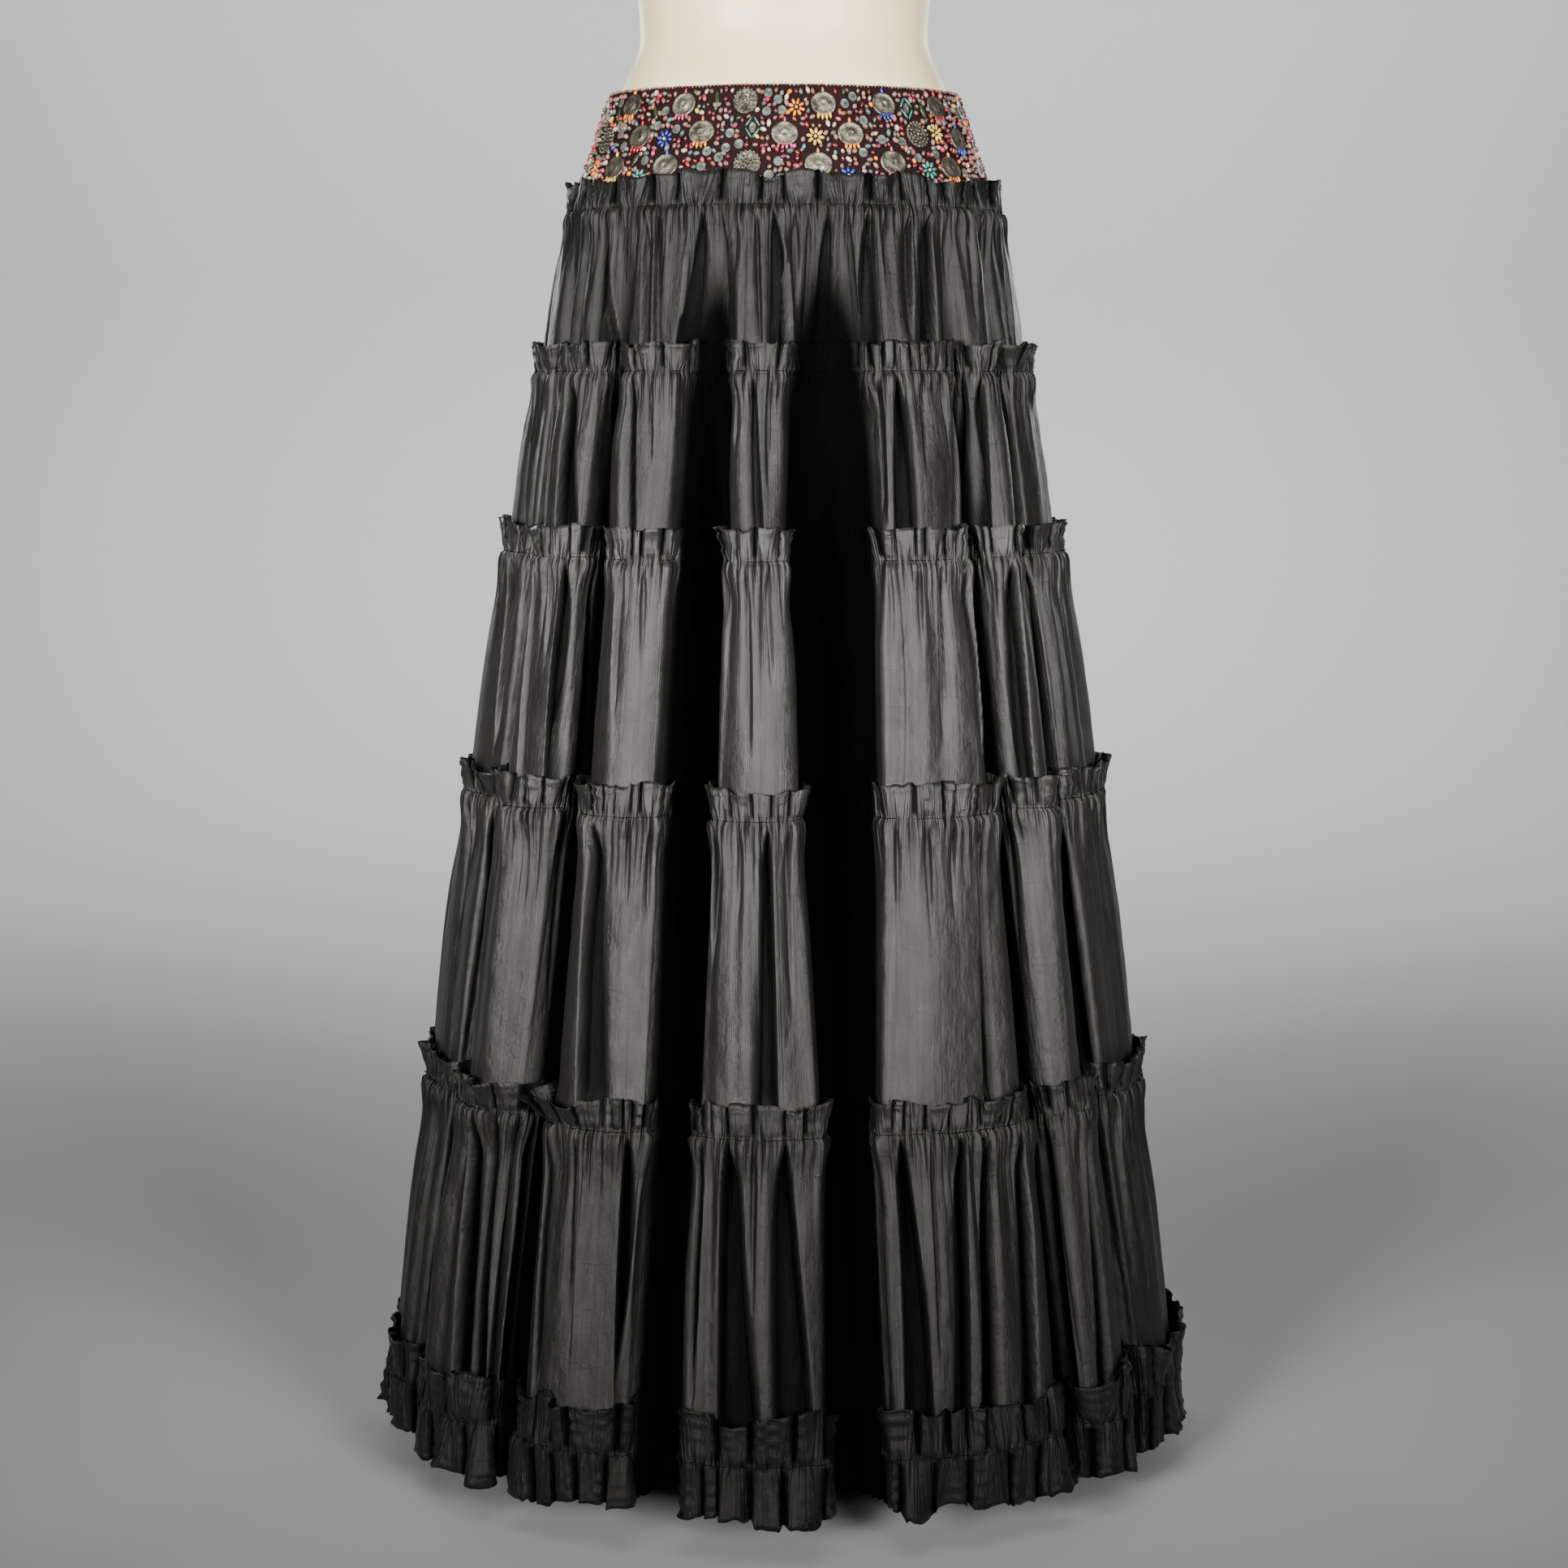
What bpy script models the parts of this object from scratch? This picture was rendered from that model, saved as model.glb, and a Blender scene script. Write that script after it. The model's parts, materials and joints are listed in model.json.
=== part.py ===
"""A tiered, ruffled maxi skirt on a limbless dress form with a pole and a round base.

Units are metres, +Z is up, and the front of the skirt faces -Y. The origin is the centre of
the base's underside. An azimuth is measured round Z from the front, towards +X.
"""

import math
from collections import namedtuple

import bpy
import numpy as np
from mathutils.geometry import delaunay_2d_cdt

# Driving sizes
CLOTH_WALL = 0.0012
YOKE_WALL = 0.0015
SEAM_GAP = 0.0004
LAP = 0.001
MEDALLION_RADIUS = 0.0108
MEDALLION_RAISE = 0.0015
MEDALLION_BEVEL = 0.0012
BASE_RADIUS = 0.140
BASE_HEIGHT = 0.007
BASE_RIM = 0.002
POLE_RADIUS = 0.0125
POLE_SIDES = 20
BASE_SIDES = 48
FORM_BOTTOM = 0.845

# The skirt's outer form, from the top edge to the hem: half sizes of the oval at each seam,
# and how far the large hanging folds reach in from it.
Section = namedtuple("Section", "name z half_width half_depth fold_depth")
SECTIONS = [
    Section("yoke_top", 1.0855, 0.1345, 0.1005, 0.000),
    Section("seam_1", 0.9950, 0.1655, 0.1250, 0.000),
    Section("seam_2", 0.8715, 0.1875, 0.1530, 0.030),
    Section("seam_3", 0.7315, 0.2075, 0.1740, 0.082),
    Section("seam_4", 0.5420, 0.2385, 0.2030, 0.100),
    Section("seam_5", 0.3105, 0.2745, 0.2370, 0.078),
    Section("seam_6", 0.0735, 0.3130, 0.2740, 0.052),
    Section("hem", 0.0300, 0.3150, 0.2760, 0.048),
]
LEVEL = {section.name: section for section in SECTIONS}

# The large folds: where each lies, how wide its mouth is at the hip and at the hem in degrees,
# and its share of the section's fold depth.
Fold = namedtuple("Fold", "azimuth width_high width_low share")
FRONT_FOLDS = [
    Fold(-68.0, 8.0, 6.0, 0.50),
    Fold(-43.5, 9.5, 7.0, 0.75),
    Fold(-18.0, 14.0, 6.5, 1.00),
    Fold(10.5, 22.0, 7.0, 1.10),
    Fold(45.0, 8.0, 6.5, 0.60),
    Fold(62.0, 9.5, 7.0, 0.70),
]
BACK_FOLDS = [
    Fold(111.0, 9.0, 6.5, 0.70),
    Fold(134.0, 12.0, 7.0, 0.95),
    Fold(158.0, 11.0, 6.5, 0.80),
    Fold(181.0, 14.0, 7.0, 1.05),
    Fold(206.0, 10.0, 6.5, 0.75),
    Fold(228.0, 12.0, 7.0, 0.95),
    Fold(250.0, 9.0, 6.5, 0.65),
]

# Columns round one half of the skirt, front or back, and those that each fold takes of them.
# A gather is two columns wide and lies on a lobe between folds, so a strip has 31 gathers.
HALF_COLUMNS = 60
FRONT_FOLD_COLUMNS = 5
BACK_FOLD_COLUMNS = 4
HALVES = [
    (FRONT_FOLDS, -90.0, 90.0, FRONT_FOLD_COLUMNS),
    (BACK_FOLDS, 90.0, 270.0, BACK_FOLD_COLUMNS),
]
FOLD_WIDTHS_FROM = LEVEL["seam_3"].z
FOLD_WIDTHS_TO = LEVEL["seam_5"].z
FOLD_ROUNDNESS = 0.7
LOBE_BULGE = 0.010
LOBE_ROUNDNESS = 0.8

# One row for each gathered strip: the seam it hangs from, the seam that covers its lower edge,
# the height of its standing heading, how far its gathers reach in below the seam, and the
# seed of its own mix of deep and shallow gathers.
Strip = namedtuple("Strip", "name seam next_seam heading gather_depth seed")
STRIPS = [
    Strip("tier_1", "seam_1", "seam_2", 0.020, 0.0075, 11),
    Strip("tier_2", "seam_2", "seam_3", 0.020, 0.0095, 12),
    Strip("tier_3", "seam_3", "seam_4", 0.023, 0.0120, 13),
    Strip("tier_4", "seam_4", "seam_5", 0.024, 0.0140, 14),
    Strip("tier_5", "seam_5", "seam_6", 0.024, 0.0160, 15),
]
FLOUNCE_SEED = 16
FLOUNCE_HEADING = 0.038

# How far down a tier its gathers are deepest, as a share of its height, how unevenly deep they
# are, and how far the cloth puffs out between them.
GATHER_SHARE = 0.24
GATHER_UNEVENNESS = 0.55
PUFF = 0.004

# A heading's free edge: how clear it is of the tier above, on a lobe and inside a large fold,
# how far its waves lean out, and the share of that lean that is left in a gather's trough. The
# lean of headings and hem is gone this deep inside a large fold, where there is no room for it,
# and most of it at the fold's mouth.
HEADING_CLEARANCE = 0.0028
CLEARANCE_IN_FOLD = 0.0024
HEADING_FLARE = 0.0115
HEADING_FLARE_IN_TROUGH = 0.10
HEM_FLARE = 0.008
NO_FLARE_BELOW = 0.012
HELD_AT_MOUTH = 0.7

# A mitre is no longer than this share allows where an outline turns sharply.
SHARPEST_MITRE = 0.3

# The dress form from below: half width, half depth to the front and half depth to the back.
FormRing = namedtuple("FormRing", "z half_width front back")
FORM_LOWER = [
    FormRing(FORM_BOTTOM, 0.124, 0.088, 0.094),
    FormRing(0.851, 0.134, 0.098, 0.104),
    FormRing(0.885, 0.142, 0.105, 0.111),
    FormRing(0.925, 0.147, 0.109, 0.114),
    FormRing(0.970, 0.1530, 0.1140, 0.1155),
]
FORM_UPPER = [
    FormRing(1.0870, 0.1280, 0.0950, 0.0955),
    FormRing(1.1290, 0.1120, 0.0830, 0.0840),
    FormRing(1.1750, 0.1165, 0.0860, 0.0880),
    FormRing(1.2400, 0.1310, 0.1010, 0.0960),
    FormRing(1.3000, 0.1430, 0.1210, 0.0990),
    FormRing(1.3500, 0.1490, 0.1240, 0.1020),
    FormRing(1.4050, 0.1600, 0.1060, 0.1030),
    FormRing(1.4450, 0.1660, 0.0860, 0.0970),
    FormRing(1.4730, 0.1500, 0.0720, 0.0880),
    FormRing(1.4920, 0.1120, 0.0620, 0.0750),
    FormRing(1.5080, 0.0700, 0.0550, 0.0600),
    FormRing(1.5520, 0.0560, 0.0520, 0.0530),
]
YOKE_SEAT_TOP = 1.047
FORM_COLUMNS = 48

# The medallions on each half of the yoke: the height of each row above the seam, how far along
# its first one lies, in pitches, and how many there are; then how unevenly they are set.
MedallionRow = namedtuple("MedallionRow", "height start count")
MEDALLION_ROWS = [
    MedallionRow(0.0310, 0.50, 8),
    MedallionRow(0.0535, 0.95, 7),
    MedallionRow(0.0765, 0.50, 8),
]
MEDALLION_PITCH = math.pi / 8
MEDALLION_SIDES = 10
MEDALLION_SWAY = 0.09
MEDALLION_LIFT = 0.0018
MEDALLION_CROWN = 0.0003
MEDALLION_MARGIN = 0.0025
SHARP_ANGLE = math.radians(40)
SAME_POINT = 1e-7


def clear_scene():
    """Removes whatever the file holds."""
    for found in list(bpy.data.objects):
        bpy.data.objects.remove(found)


def collection_named(name):
    """A collection in the scene."""
    made = bpy.data.collections.new(name)
    bpy.context.scene.collection.children.link(made)
    return made


def material(name, colour, roughness, metallic=0.0):
    """A plain Principled material."""
    made = bpy.data.materials.new(name)
    made.use_nodes = True
    shader = made.node_tree.nodes["Principled BSDF"]
    shader.inputs["Base Color"].default_value = (*colour, 1.0)
    shader.inputs["Roughness"].default_value = roughness
    shader.inputs["Metallic"].default_value = metallic
    made.diffuse_color = (*colour, 1.0)
    return made


def mesh_object(name, points, faces, finish, collection):
    """A smooth-shaded mesh object of its own."""
    mesh = bpy.data.meshes.new(name)
    mesh.from_pydata([tuple(map(float, point)) for point in points], [], faces)
    mesh.update()
    mesh.shade_smooth()
    mesh.set_sharp_from_angle(angle=SHARP_ANGLE)
    mesh.materials.append(finish)
    made = bpy.data.objects.new(name, mesh)
    collection.objects.link(made)
    return made


def between(low, high, share):
    """Linear interpolation."""
    return low + (high - low) * share


def section_at(z):
    """Half width, half depth and fold depth of the skirt's outer form at a height."""
    for upper, lower in zip(SECTIONS, SECTIONS[1:]):
        if z >= lower.z or lower is SECTIONS[-1]:
            share = (upper.z - z) / (upper.z - lower.z)
            return (
                between(upper.half_width, lower.half_width, share),
                between(upper.half_depth, lower.half_depth, share),
                between(upper.fold_depth, lower.fold_depth, share),
            )


def fold_edges(fold, z):
    """The azimuths of a fold's two edges at a height."""
    share = (FOLD_WIDTHS_FROM - z) / (FOLD_WIDTHS_FROM - FOLD_WIDTHS_TO)
    width = between(fold.width_high, fold.width_low, min(1.0, max(0.0, share)))
    return fold.azimuth - width / 2, fold.azimuth + width / 2


def spans_of(folds, start, end, fold_columns):
    """The stretches of one half: lobes between folds, and the folds, with their columns."""
    edges = [start]
    for fold in folds:
        edges.extend(fold_edges(fold, FOLD_WIDTHS_FROM))
    edges.append(end)
    widths = [edges[2 * i + 1] - edges[2 * i] for i in range(len(folds) + 1)]
    free = HALF_COLUMNS - fold_columns * len(folds)
    columns = [2 * max(1, round(0.5 * free * width / sum(widths))) for width in widths]
    columns[0] -= 1
    columns[-1] -= 1
    columns[widths.index(max(widths[1:-1]))] += free - sum(columns)
    spans = []
    for i, count in enumerate(columns):
        before = folds[i - 1] if i else None
        after = folds[i] if i < len(folds) else None
        spans.append(("lobe", before, after, count))
        if after:
            spans.append(("fold", after, None, fold_columns))
    return spans


def skin_half(z, folds, start, end, fold_columns):
    """One half of the outer form at a height: points, and how deep in a fold each one lies."""
    half_width, half_depth, fold_depth = section_at(z)
    points = []
    depths = []
    for kind, first, second, count in spans_of(folds, start, end, fold_columns):
        for step in range(count):
            along = step / count
            if kind == "fold":
                low, high = fold_edges(first, z)
                azimuth = between(low, high, along)
                depth = fold_depth * first.share * math.sin(math.pi * along) ** FOLD_ROUNDNESS
                reach_in = depth
            else:
                low = fold_edges(first, z)[1] if first else start
                high = fold_edges(second, z)[0] if second else end
                azimuth = between(low, high, along)
                edge_lobe = not (first and second)
                rise = 1.0 if edge_lobe else math.sin(math.pi * along) ** LOBE_ROUNDNESS
                depth = 0.0
                reach_in = -LOBE_BULGE * rise * fold_depth / LEVEL["seam_5"].fold_depth
                if edge_lobe:
                    towards_seam = along if not first else 1.0 - along
                    reach_in *= math.cos(0.5 * math.pi * towards_seam)
            angle = math.radians(azimuth)
            across = np.array([half_width * math.sin(angle), -half_depth * math.cos(angle)])
            outward = np.array([half_depth * math.sin(angle), -half_width * math.cos(angle)])
            outward /= np.linalg.norm(outward)
            points.append(across - outward * reach_in)
            depths.append(depth)
    return points, depths


def skin(z):
    """The whole outer form at a height: points anticlockwise from the wearer's right seam."""
    (front, front_depths), (back, back_depths) = (skin_half(z, *half) for half in HALVES)
    return np.array(front + back), np.array(front_depths + back_depths)


def moved_out(points, distances):
    """A closed outline moved out by a distance at each point, so that its sides stay parallel."""
    ahead = np.roll(points, -1, axis=0) - points
    normals = np.stack([ahead[:, 1], -ahead[:, 0]], axis=1)
    normals /= np.linalg.norm(normals, axis=1)[:, None]
    before = np.roll(normals, 1, axis=0)
    middle = normals + before
    middle /= np.linalg.norm(middle, axis=1)[:, None]
    reach = np.maximum((middle * normals).sum(axis=1), SHARPEST_MITRE)
    return points + middle * (np.asarray(distances) / reach)[:, None]


def gathers(seed):
    """How far each column lies in a gather, from 0 on its ridge to 1 in its trough.

    A lobe starts and ends on a ridge, but for the trough that lies along each side seam.
    """
    troughs = []
    for folds, start, end, fold_columns in HALVES:
        for kind, first, _, count in spans_of(folds, start, end, fold_columns):
            for step in range(count):
                in_trough = step % 2 == (1 if first else 0)
                troughs.append(1.0 if kind == "lobe" and in_trough else 0.0)
    chance = np.random.default_rng(seed).random(2 * HALF_COLUMNS)
    return np.array(troughs) * (1.0 - GATHER_UNEVENNESS * chance)


def ring(z, distances):
    """A closed row of points at a height, moved out from the outer form."""
    outline = moved_out(skin(z)[0], distances)
    return np.column_stack([outline, np.full(len(outline), z)])


def sunk_share(z):
    """How deep in a fold each column lies, from 0 on a lobe to 1 where nothing flares."""
    return np.clip(skin(z)[1] / NO_FLARE_BELOW, 0.0, 1.0)


def held_back(z):
    """How far a flare is held back: as a column is sunk, and partly so beside a fold's mouth."""
    sunk = sunk_share(z)
    beside = np.maximum(np.roll(sunk, 1), np.roll(sunk, -1))
    return np.maximum(sunk, HELD_AT_MOUTH * beside)


def heading_ring(z, seed):
    """The free upper edge of a standing heading, flared and waved outside the form."""
    on_ridge = between(1.0, HEADING_FLARE_IN_TROUGH, gathers(seed))
    clearance = between(HEADING_CLEARANCE, CLEARANCE_IN_FOLD, sunk_share(z))
    return ring(z, clearance + HEADING_FLARE * on_ridge * (1.0 - held_back(z)))


def strip_rings(strip):
    """The four rows of a gathered tier: heading, gather line, gathers and lower edge."""
    seam = LEVEL[strip.seam].z
    lower = LEVEL[strip.next_seam].z + LAP
    gathered = between(seam, lower, GATHER_SHARE)
    bulge = PUFF * (1.0 - sunk_share(lower))
    return [
        heading_ring(seam + strip.heading, strip.seed),
        ring(seam, np.full(2 * HALF_COLUMNS, CLOTH_WALL + SEAM_GAP)),
        ring(gathered, bulge - strip.gather_depth * gathers(strip.seed)),
        ring(lower, np.zeros(2 * HALF_COLUMNS)),
    ]


def flounce_rings():
    """The three rows of the flounce: heading, gather line and hem."""
    seam = LEVEL["seam_6"].z
    hem = LEVEL["hem"].z
    flare = HEM_FLARE * (1.0 - gathers(FLOUNCE_SEED)) * (1.0 - held_back(hem))
    return [
        heading_ring(seam + FLOUNCE_HEADING, FLOUNCE_SEED),
        ring(seam, np.full(2 * HALF_COLUMNS, CLOTH_WALL + SEAM_GAP)),
        ring(hem, flare + CLOTH_WALL),
    ]


def half_of(row, first):
    """The columns of one half of a row, drawn back from both side seams by half a gap."""
    count = len(row)
    picked = row[[(first + step) % count for step in range(HALF_COLUMNS + 1)]].copy()
    for end, neighbour in ((0, 1), (-1, -2)):
        along = picked[neighbour] - picked[end]
        picked[end] += along / np.linalg.norm(along) * SEAM_GAP / 2
    return picked


def cloth_panel(name, rings, first, finish, collection):
    """An open sheet lofted through one half of the rings, given its thickness inwards."""
    rows = [half_of(row, first) for row in rings]
    width = HALF_COLUMNS + 1
    faces = []
    for level in range(len(rows) - 1):
        for column in range(HALF_COLUMNS):
            upper = level * width + column
            faces.append((upper, upper + width, upper + width + 1, upper + 1))
    panel = mesh_object(name, np.concatenate(rows), faces, finish, collection)
    wall = panel.modifiers.new("cloth wall", "SOLIDIFY")
    wall.thickness = CLOTH_WALL
    wall.offset = -1.0
    wall.use_even_offset = True
    wall.thickness_clamp = 0.0
    return panel


def yoke_point(azimuth, height, raised):
    """A point of the yoke's cone, at a height above its seam, moved out along its normal."""
    top = LEVEL["yoke_top"]
    seam = LEVEL["seam_1"]
    share = height / (top.z - seam.z)
    half_width = between(seam.half_width, top.half_width, share)
    half_depth = between(seam.half_depth, top.half_depth, share)
    lean = math.atan2(seam.half_width - top.half_width, top.z - seam.z)
    outward = np.array([half_depth * math.sin(azimuth), -half_width * math.cos(azimuth)])
    outward /= np.linalg.norm(outward)
    flat = np.array([half_width * math.sin(azimuth), -half_depth * math.cos(azimuth)])
    flat += outward * raised * math.cos(lean)
    return (*flat, seam.z + height + raised * math.sin(lean))


def yoke_radius(azimuth):
    """How far round the yoke a radian takes you, halfway up it."""
    top = LEVEL["yoke_top"]
    seam = LEVEL["seam_1"]
    half_width = between(seam.half_width, top.half_width, 0.5)
    half_depth = between(seam.half_depth, top.half_depth, 0.5)
    return math.hypot(half_width * math.cos(azimuth), half_depth * math.sin(azimuth))


def medallion_places(start):
    """Azimuth and height of each medallion on one half of the yoke, in staggered rows."""
    chance = np.random.default_rng(round(math.degrees(start)) + 360)
    places = []
    for row in MEDALLION_ROWS:
        for number in range(row.count):
            sway = MEDALLION_SWAY * chance.uniform(-1.0, 1.0)
            lift = MEDALLION_LIFT * chance.uniform(-1.0, 1.0)
            azimuth = start + MEDALLION_PITCH * (row.start + number + sway)
            places.append((azimuth, row.height + lift))
    return places


def yoke_panel(name, start, finish, collection):
    """One half of the yoke: a wall with the medallions raised in its outer face."""
    top = LEVEL["yoke_top"].z - LEVEL["seam_1"].z
    side_radius = yoke_radius(start)
    margin = SEAM_GAP / 2 / side_radius
    columns = FORM_COLUMNS // 2
    azimuths = [start + math.pi * step / columns for step in range(columns + 1)]
    azimuths[0] += margin
    azimuths[-1] -= margin
    heights = [LAP, top / 3, 2 * top / 3, top]
    places = medallion_places(start)
    outline = []
    for azimuth in azimuths:
        outline.append((azimuth, heights[0]))
    for height in heights[1:-1]:
        outline.append((azimuths[-1], height))
    for azimuth in reversed(azimuths):
        outline.append((azimuth, heights[-1]))
    for height in reversed(heights[1:-1]):
        outline.append((azimuths[0], height))
    rim = len(outline)
    flat = [(azimuth * side_radius, height) for azimuth, height in outline]
    raised = [0.0] * rim
    constraints = [(i, (i + 1) % rim) for i in range(rim)]
    for azimuth, height in places:
        centre = (azimuth * side_radius, height)
        squeeze = side_radius / yoke_radius(azimuth)
        for radius, raise_by in (
            (MEDALLION_RADIUS, 0.0),
            (MEDALLION_RADIUS - MEDALLION_BEVEL, MEDALLION_RAISE),
        ):
            first = len(flat)
            for side in range(MEDALLION_SIDES):
                turn = 2 * math.pi * side / MEDALLION_SIDES
                along = centre[0] + squeeze * radius * math.cos(turn)
                flat.append((along, height + radius * math.sin(turn)))
                raised.append(raise_by)
                constraints.append((first + side, first + (side + 1) % MEDALLION_SIDES))
        flat.append(centre)
        raised.append(MEDALLION_RAISE + MEDALLION_CROWN)
    clear_of = MEDALLION_RADIUS + MEDALLION_MARGIN
    for height in heights[1:-1]:
        for azimuth in azimuths[1:-1]:
            away = [
                math.hypot((azimuth - a) * yoke_radius(a), height - h) for a, h in places
            ]
            if min(away) > clear_of:
                flat.append((azimuth * side_radius, height))
                raised.append(0.0)
    outer_2d, _, outer_faces, sources, _, _ = delaunay_2d_cdt(
        flat, constraints, [], 1, SAME_POINT
    )
    lifts = [raised[source[0]] for source in sources]
    points = [yoke_point(p[0] / side_radius, p[1], lift) for p, lift in zip(outer_2d, lifts)]
    outer_of = {source[0]: index for index, source in enumerate(sources)}
    inner_first = len(points)
    inner_flat = flat[:rim]
    for height in heights[1:-1]:
        inner_flat = inner_flat + [(azimuth * side_radius, height) for azimuth in azimuths[1:-1]]
    inner_2d, _, inner_faces, inner_sources, _, _ = delaunay_2d_cdt(
        inner_flat, constraints[:rim], [], 1, SAME_POINT
    )
    points += [yoke_point(p[0] / side_radius, p[1], -YOKE_WALL) for p in inner_2d]
    inner_of = {source[0]: inner_first + i for i, source in enumerate(inner_sources)}
    faces = [tuple(face) for face in outer_faces]
    faces += [tuple(inner_first + index for index in reversed(face)) for face in inner_faces]
    for i in range(rim):
        after = (i + 1) % rim
        faces.append((outer_of[after], outer_of[i], inner_of[i], inner_of[after]))
    return mesh_object(name, points, faces, finish, collection)


def form_ring(row):
    """A closed outline of the dress form, with its own depth to the front and to the back."""
    points = []
    for column in range(FORM_COLUMNS):
        azimuth = -math.pi / 2 + 2 * math.pi * column / FORM_COLUMNS
        depth = row.front if math.cos(azimuth) > 0 else row.back
        points.append((row.half_width * math.sin(azimuth), -depth * math.cos(azimuth), row.z))
    return points


def seat_ring(z):
    """The form's outline just inside the yoke, a gap clear of its wall."""
    inset = YOKE_WALL + SEAM_GAP
    height = z - LEVEL["seam_1"].z
    points = []
    for column in range(FORM_COLUMNS):
        azimuth = -math.pi / 2 + 2 * math.pi * column / FORM_COLUMNS
        x, y, _ = yoke_point(azimuth, height, -inset)
        points.append((x, y, z))
    return points


def form_torso(finish, collection):
    """The dress form: hips, waist, chest, shoulders and neck as one closed loft."""
    rings = [form_ring(row) for row in FORM_LOWER]
    rings += [seat_ring(LEVEL["seam_1"].z), seat_ring(YOKE_SEAT_TOP)]
    rings += [form_ring(row) for row in FORM_UPPER]
    count = FORM_COLUMNS
    faces = []
    for level in range(len(rings) - 1):
        for column in range(count):
            after = (column + 1) % count
            lower = level * count
            faces.append((lower + column, lower + after, lower + count + after, lower + count + column))
    last = (len(rings) - 1) * count
    faces.append(tuple(reversed(range(count))))
    faces.append(tuple(range(last, last + count)))
    return mesh_object("form_torso", np.concatenate(rings), faces, finish, collection)


def upright_cylinder(name, radius, low, high, sides, finish, collection):
    """A closed round bar standing on Z."""
    bpy.ops.mesh.primitive_cylinder_add(
        vertices=sides, radius=radius, depth=high - low, location=(0.0, 0.0, (low + high) / 2)
    )
    made = bpy.context.object
    made.name = name
    made.data.name = name
    made.data.materials.append(finish)
    for linked in list(made.users_collection):
        linked.objects.unlink(made)
    collection.objects.link(made)
    return made


def main():
    """Builds the skirt, the form and its stand."""
    clear_scene()
    parts = collection_named("ruffled maxi skirt")
    taffeta = material("black taffeta", (0.030, 0.030, 0.032), 0.38)
    velvet = material("beaded velvet", (0.110, 0.040, 0.040), 0.70)
    cream = material("cream form", (0.860, 0.810, 0.690), 0.35)
    steel = material("brushed steel", (0.560, 0.560, 0.570), 0.32, 1.0)

    for strip in STRIPS:
        rings = strip_rings(strip)
        cloth_panel(strip.name + "_front", rings, 0, taffeta, parts)
        cloth_panel(strip.name + "_back", rings, HALF_COLUMNS, taffeta, parts)
    rings = flounce_rings()
    cloth_panel("flounce_front", rings, 0, taffeta, parts)
    cloth_panel("flounce_back", rings, HALF_COLUMNS, taffeta, parts)

    yoke_panel("yoke_front", -math.pi / 2, velvet, parts)
    yoke_panel("yoke_back", math.pi / 2, velvet, parts)

    form_torso(cream, parts)
    pole_low = BASE_HEIGHT + SEAM_GAP
    upright_cylinder(
        "stand_pole", POLE_RADIUS, pole_low, FORM_BOTTOM - SEAM_GAP, POLE_SIDES, steel, parts
    )
    base = upright_cylinder(
        "stand_base", BASE_RADIUS, 0.0, BASE_HEIGHT, BASE_SIDES, steel, parts
    )
    edge = base.modifiers.new("rounded rim", "BEVEL")
    edge.width = BASE_RIM
    edge.segments = 1
    edge.limit_method = "ANGLE"


main()
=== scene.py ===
# %% [markdown]
# # A tiered taffeta skirt on a dress form
# This lesson dresses a plain model of a floor-length skirt in its real looks. The skirt has a
# beaded velvet yoke at the hip and five strips of crisp black taffeta below it, each gathered
# under a standing ruffle, with a last ruffle along the hem.
# The plain model gives every piece its place and its size. What it lacks is what the eye goes
# to first: fine gathers, the ruffles' edges, the sheen of the cloth, and beads.

import json
import math
from collections import namedtuple

import bpy
import numpy as np
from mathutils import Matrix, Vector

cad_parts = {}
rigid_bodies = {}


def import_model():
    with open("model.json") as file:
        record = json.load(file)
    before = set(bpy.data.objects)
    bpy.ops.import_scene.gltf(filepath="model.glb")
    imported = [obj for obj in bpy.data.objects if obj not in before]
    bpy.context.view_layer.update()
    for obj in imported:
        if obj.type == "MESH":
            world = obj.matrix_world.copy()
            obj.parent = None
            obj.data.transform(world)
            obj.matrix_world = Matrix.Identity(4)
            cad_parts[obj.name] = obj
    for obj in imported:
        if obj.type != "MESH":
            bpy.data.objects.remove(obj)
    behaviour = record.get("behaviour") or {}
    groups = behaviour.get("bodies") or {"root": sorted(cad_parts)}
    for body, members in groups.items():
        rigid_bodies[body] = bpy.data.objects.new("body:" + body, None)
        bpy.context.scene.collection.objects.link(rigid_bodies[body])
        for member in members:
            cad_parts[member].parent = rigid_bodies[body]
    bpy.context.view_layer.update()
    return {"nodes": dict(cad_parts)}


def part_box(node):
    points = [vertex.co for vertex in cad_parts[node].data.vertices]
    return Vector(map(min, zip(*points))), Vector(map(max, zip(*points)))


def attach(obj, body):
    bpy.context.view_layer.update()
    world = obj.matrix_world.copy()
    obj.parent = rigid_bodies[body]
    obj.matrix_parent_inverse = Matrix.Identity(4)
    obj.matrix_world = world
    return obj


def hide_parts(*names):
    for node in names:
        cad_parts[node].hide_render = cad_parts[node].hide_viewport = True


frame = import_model()
print("nodes:", ", ".join(sorted(frame["nodes"])))

# %% [markdown]
# ## The camera
# The photograph was taken from about chest height, looking slightly down. Its perspective was
# worked out from the seams, which curve downwards more and more towards the hem. A long lens
# 2.5 m away keeps them as they are there.

# %% Place the camera
SENSOR = 36.0
PHOTO_SIDE = 1932
FOCAL_PIXELS = 3860
CAMERA_PLACE = (0.0, -2.5, 0.8585)
CAMERA_DOWN = 7.2

camera_data = bpy.data.cameras.new("camera")
camera_data.sensor_width = SENSOR
camera_data.lens = SENSOR * FOCAL_PIXELS / PHOTO_SIDE
camera = bpy.data.objects.new("camera", camera_data)
camera.location = CAMERA_PLACE
camera.rotation_euler = (math.radians(90.0 - CAMERA_DOWN), 0.0, 0.0)
bpy.context.scene.collection.objects.link(camera)
bpy.context.scene.camera = camera
print("lens, mm:", round(camera_data.lens, 1))

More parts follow.
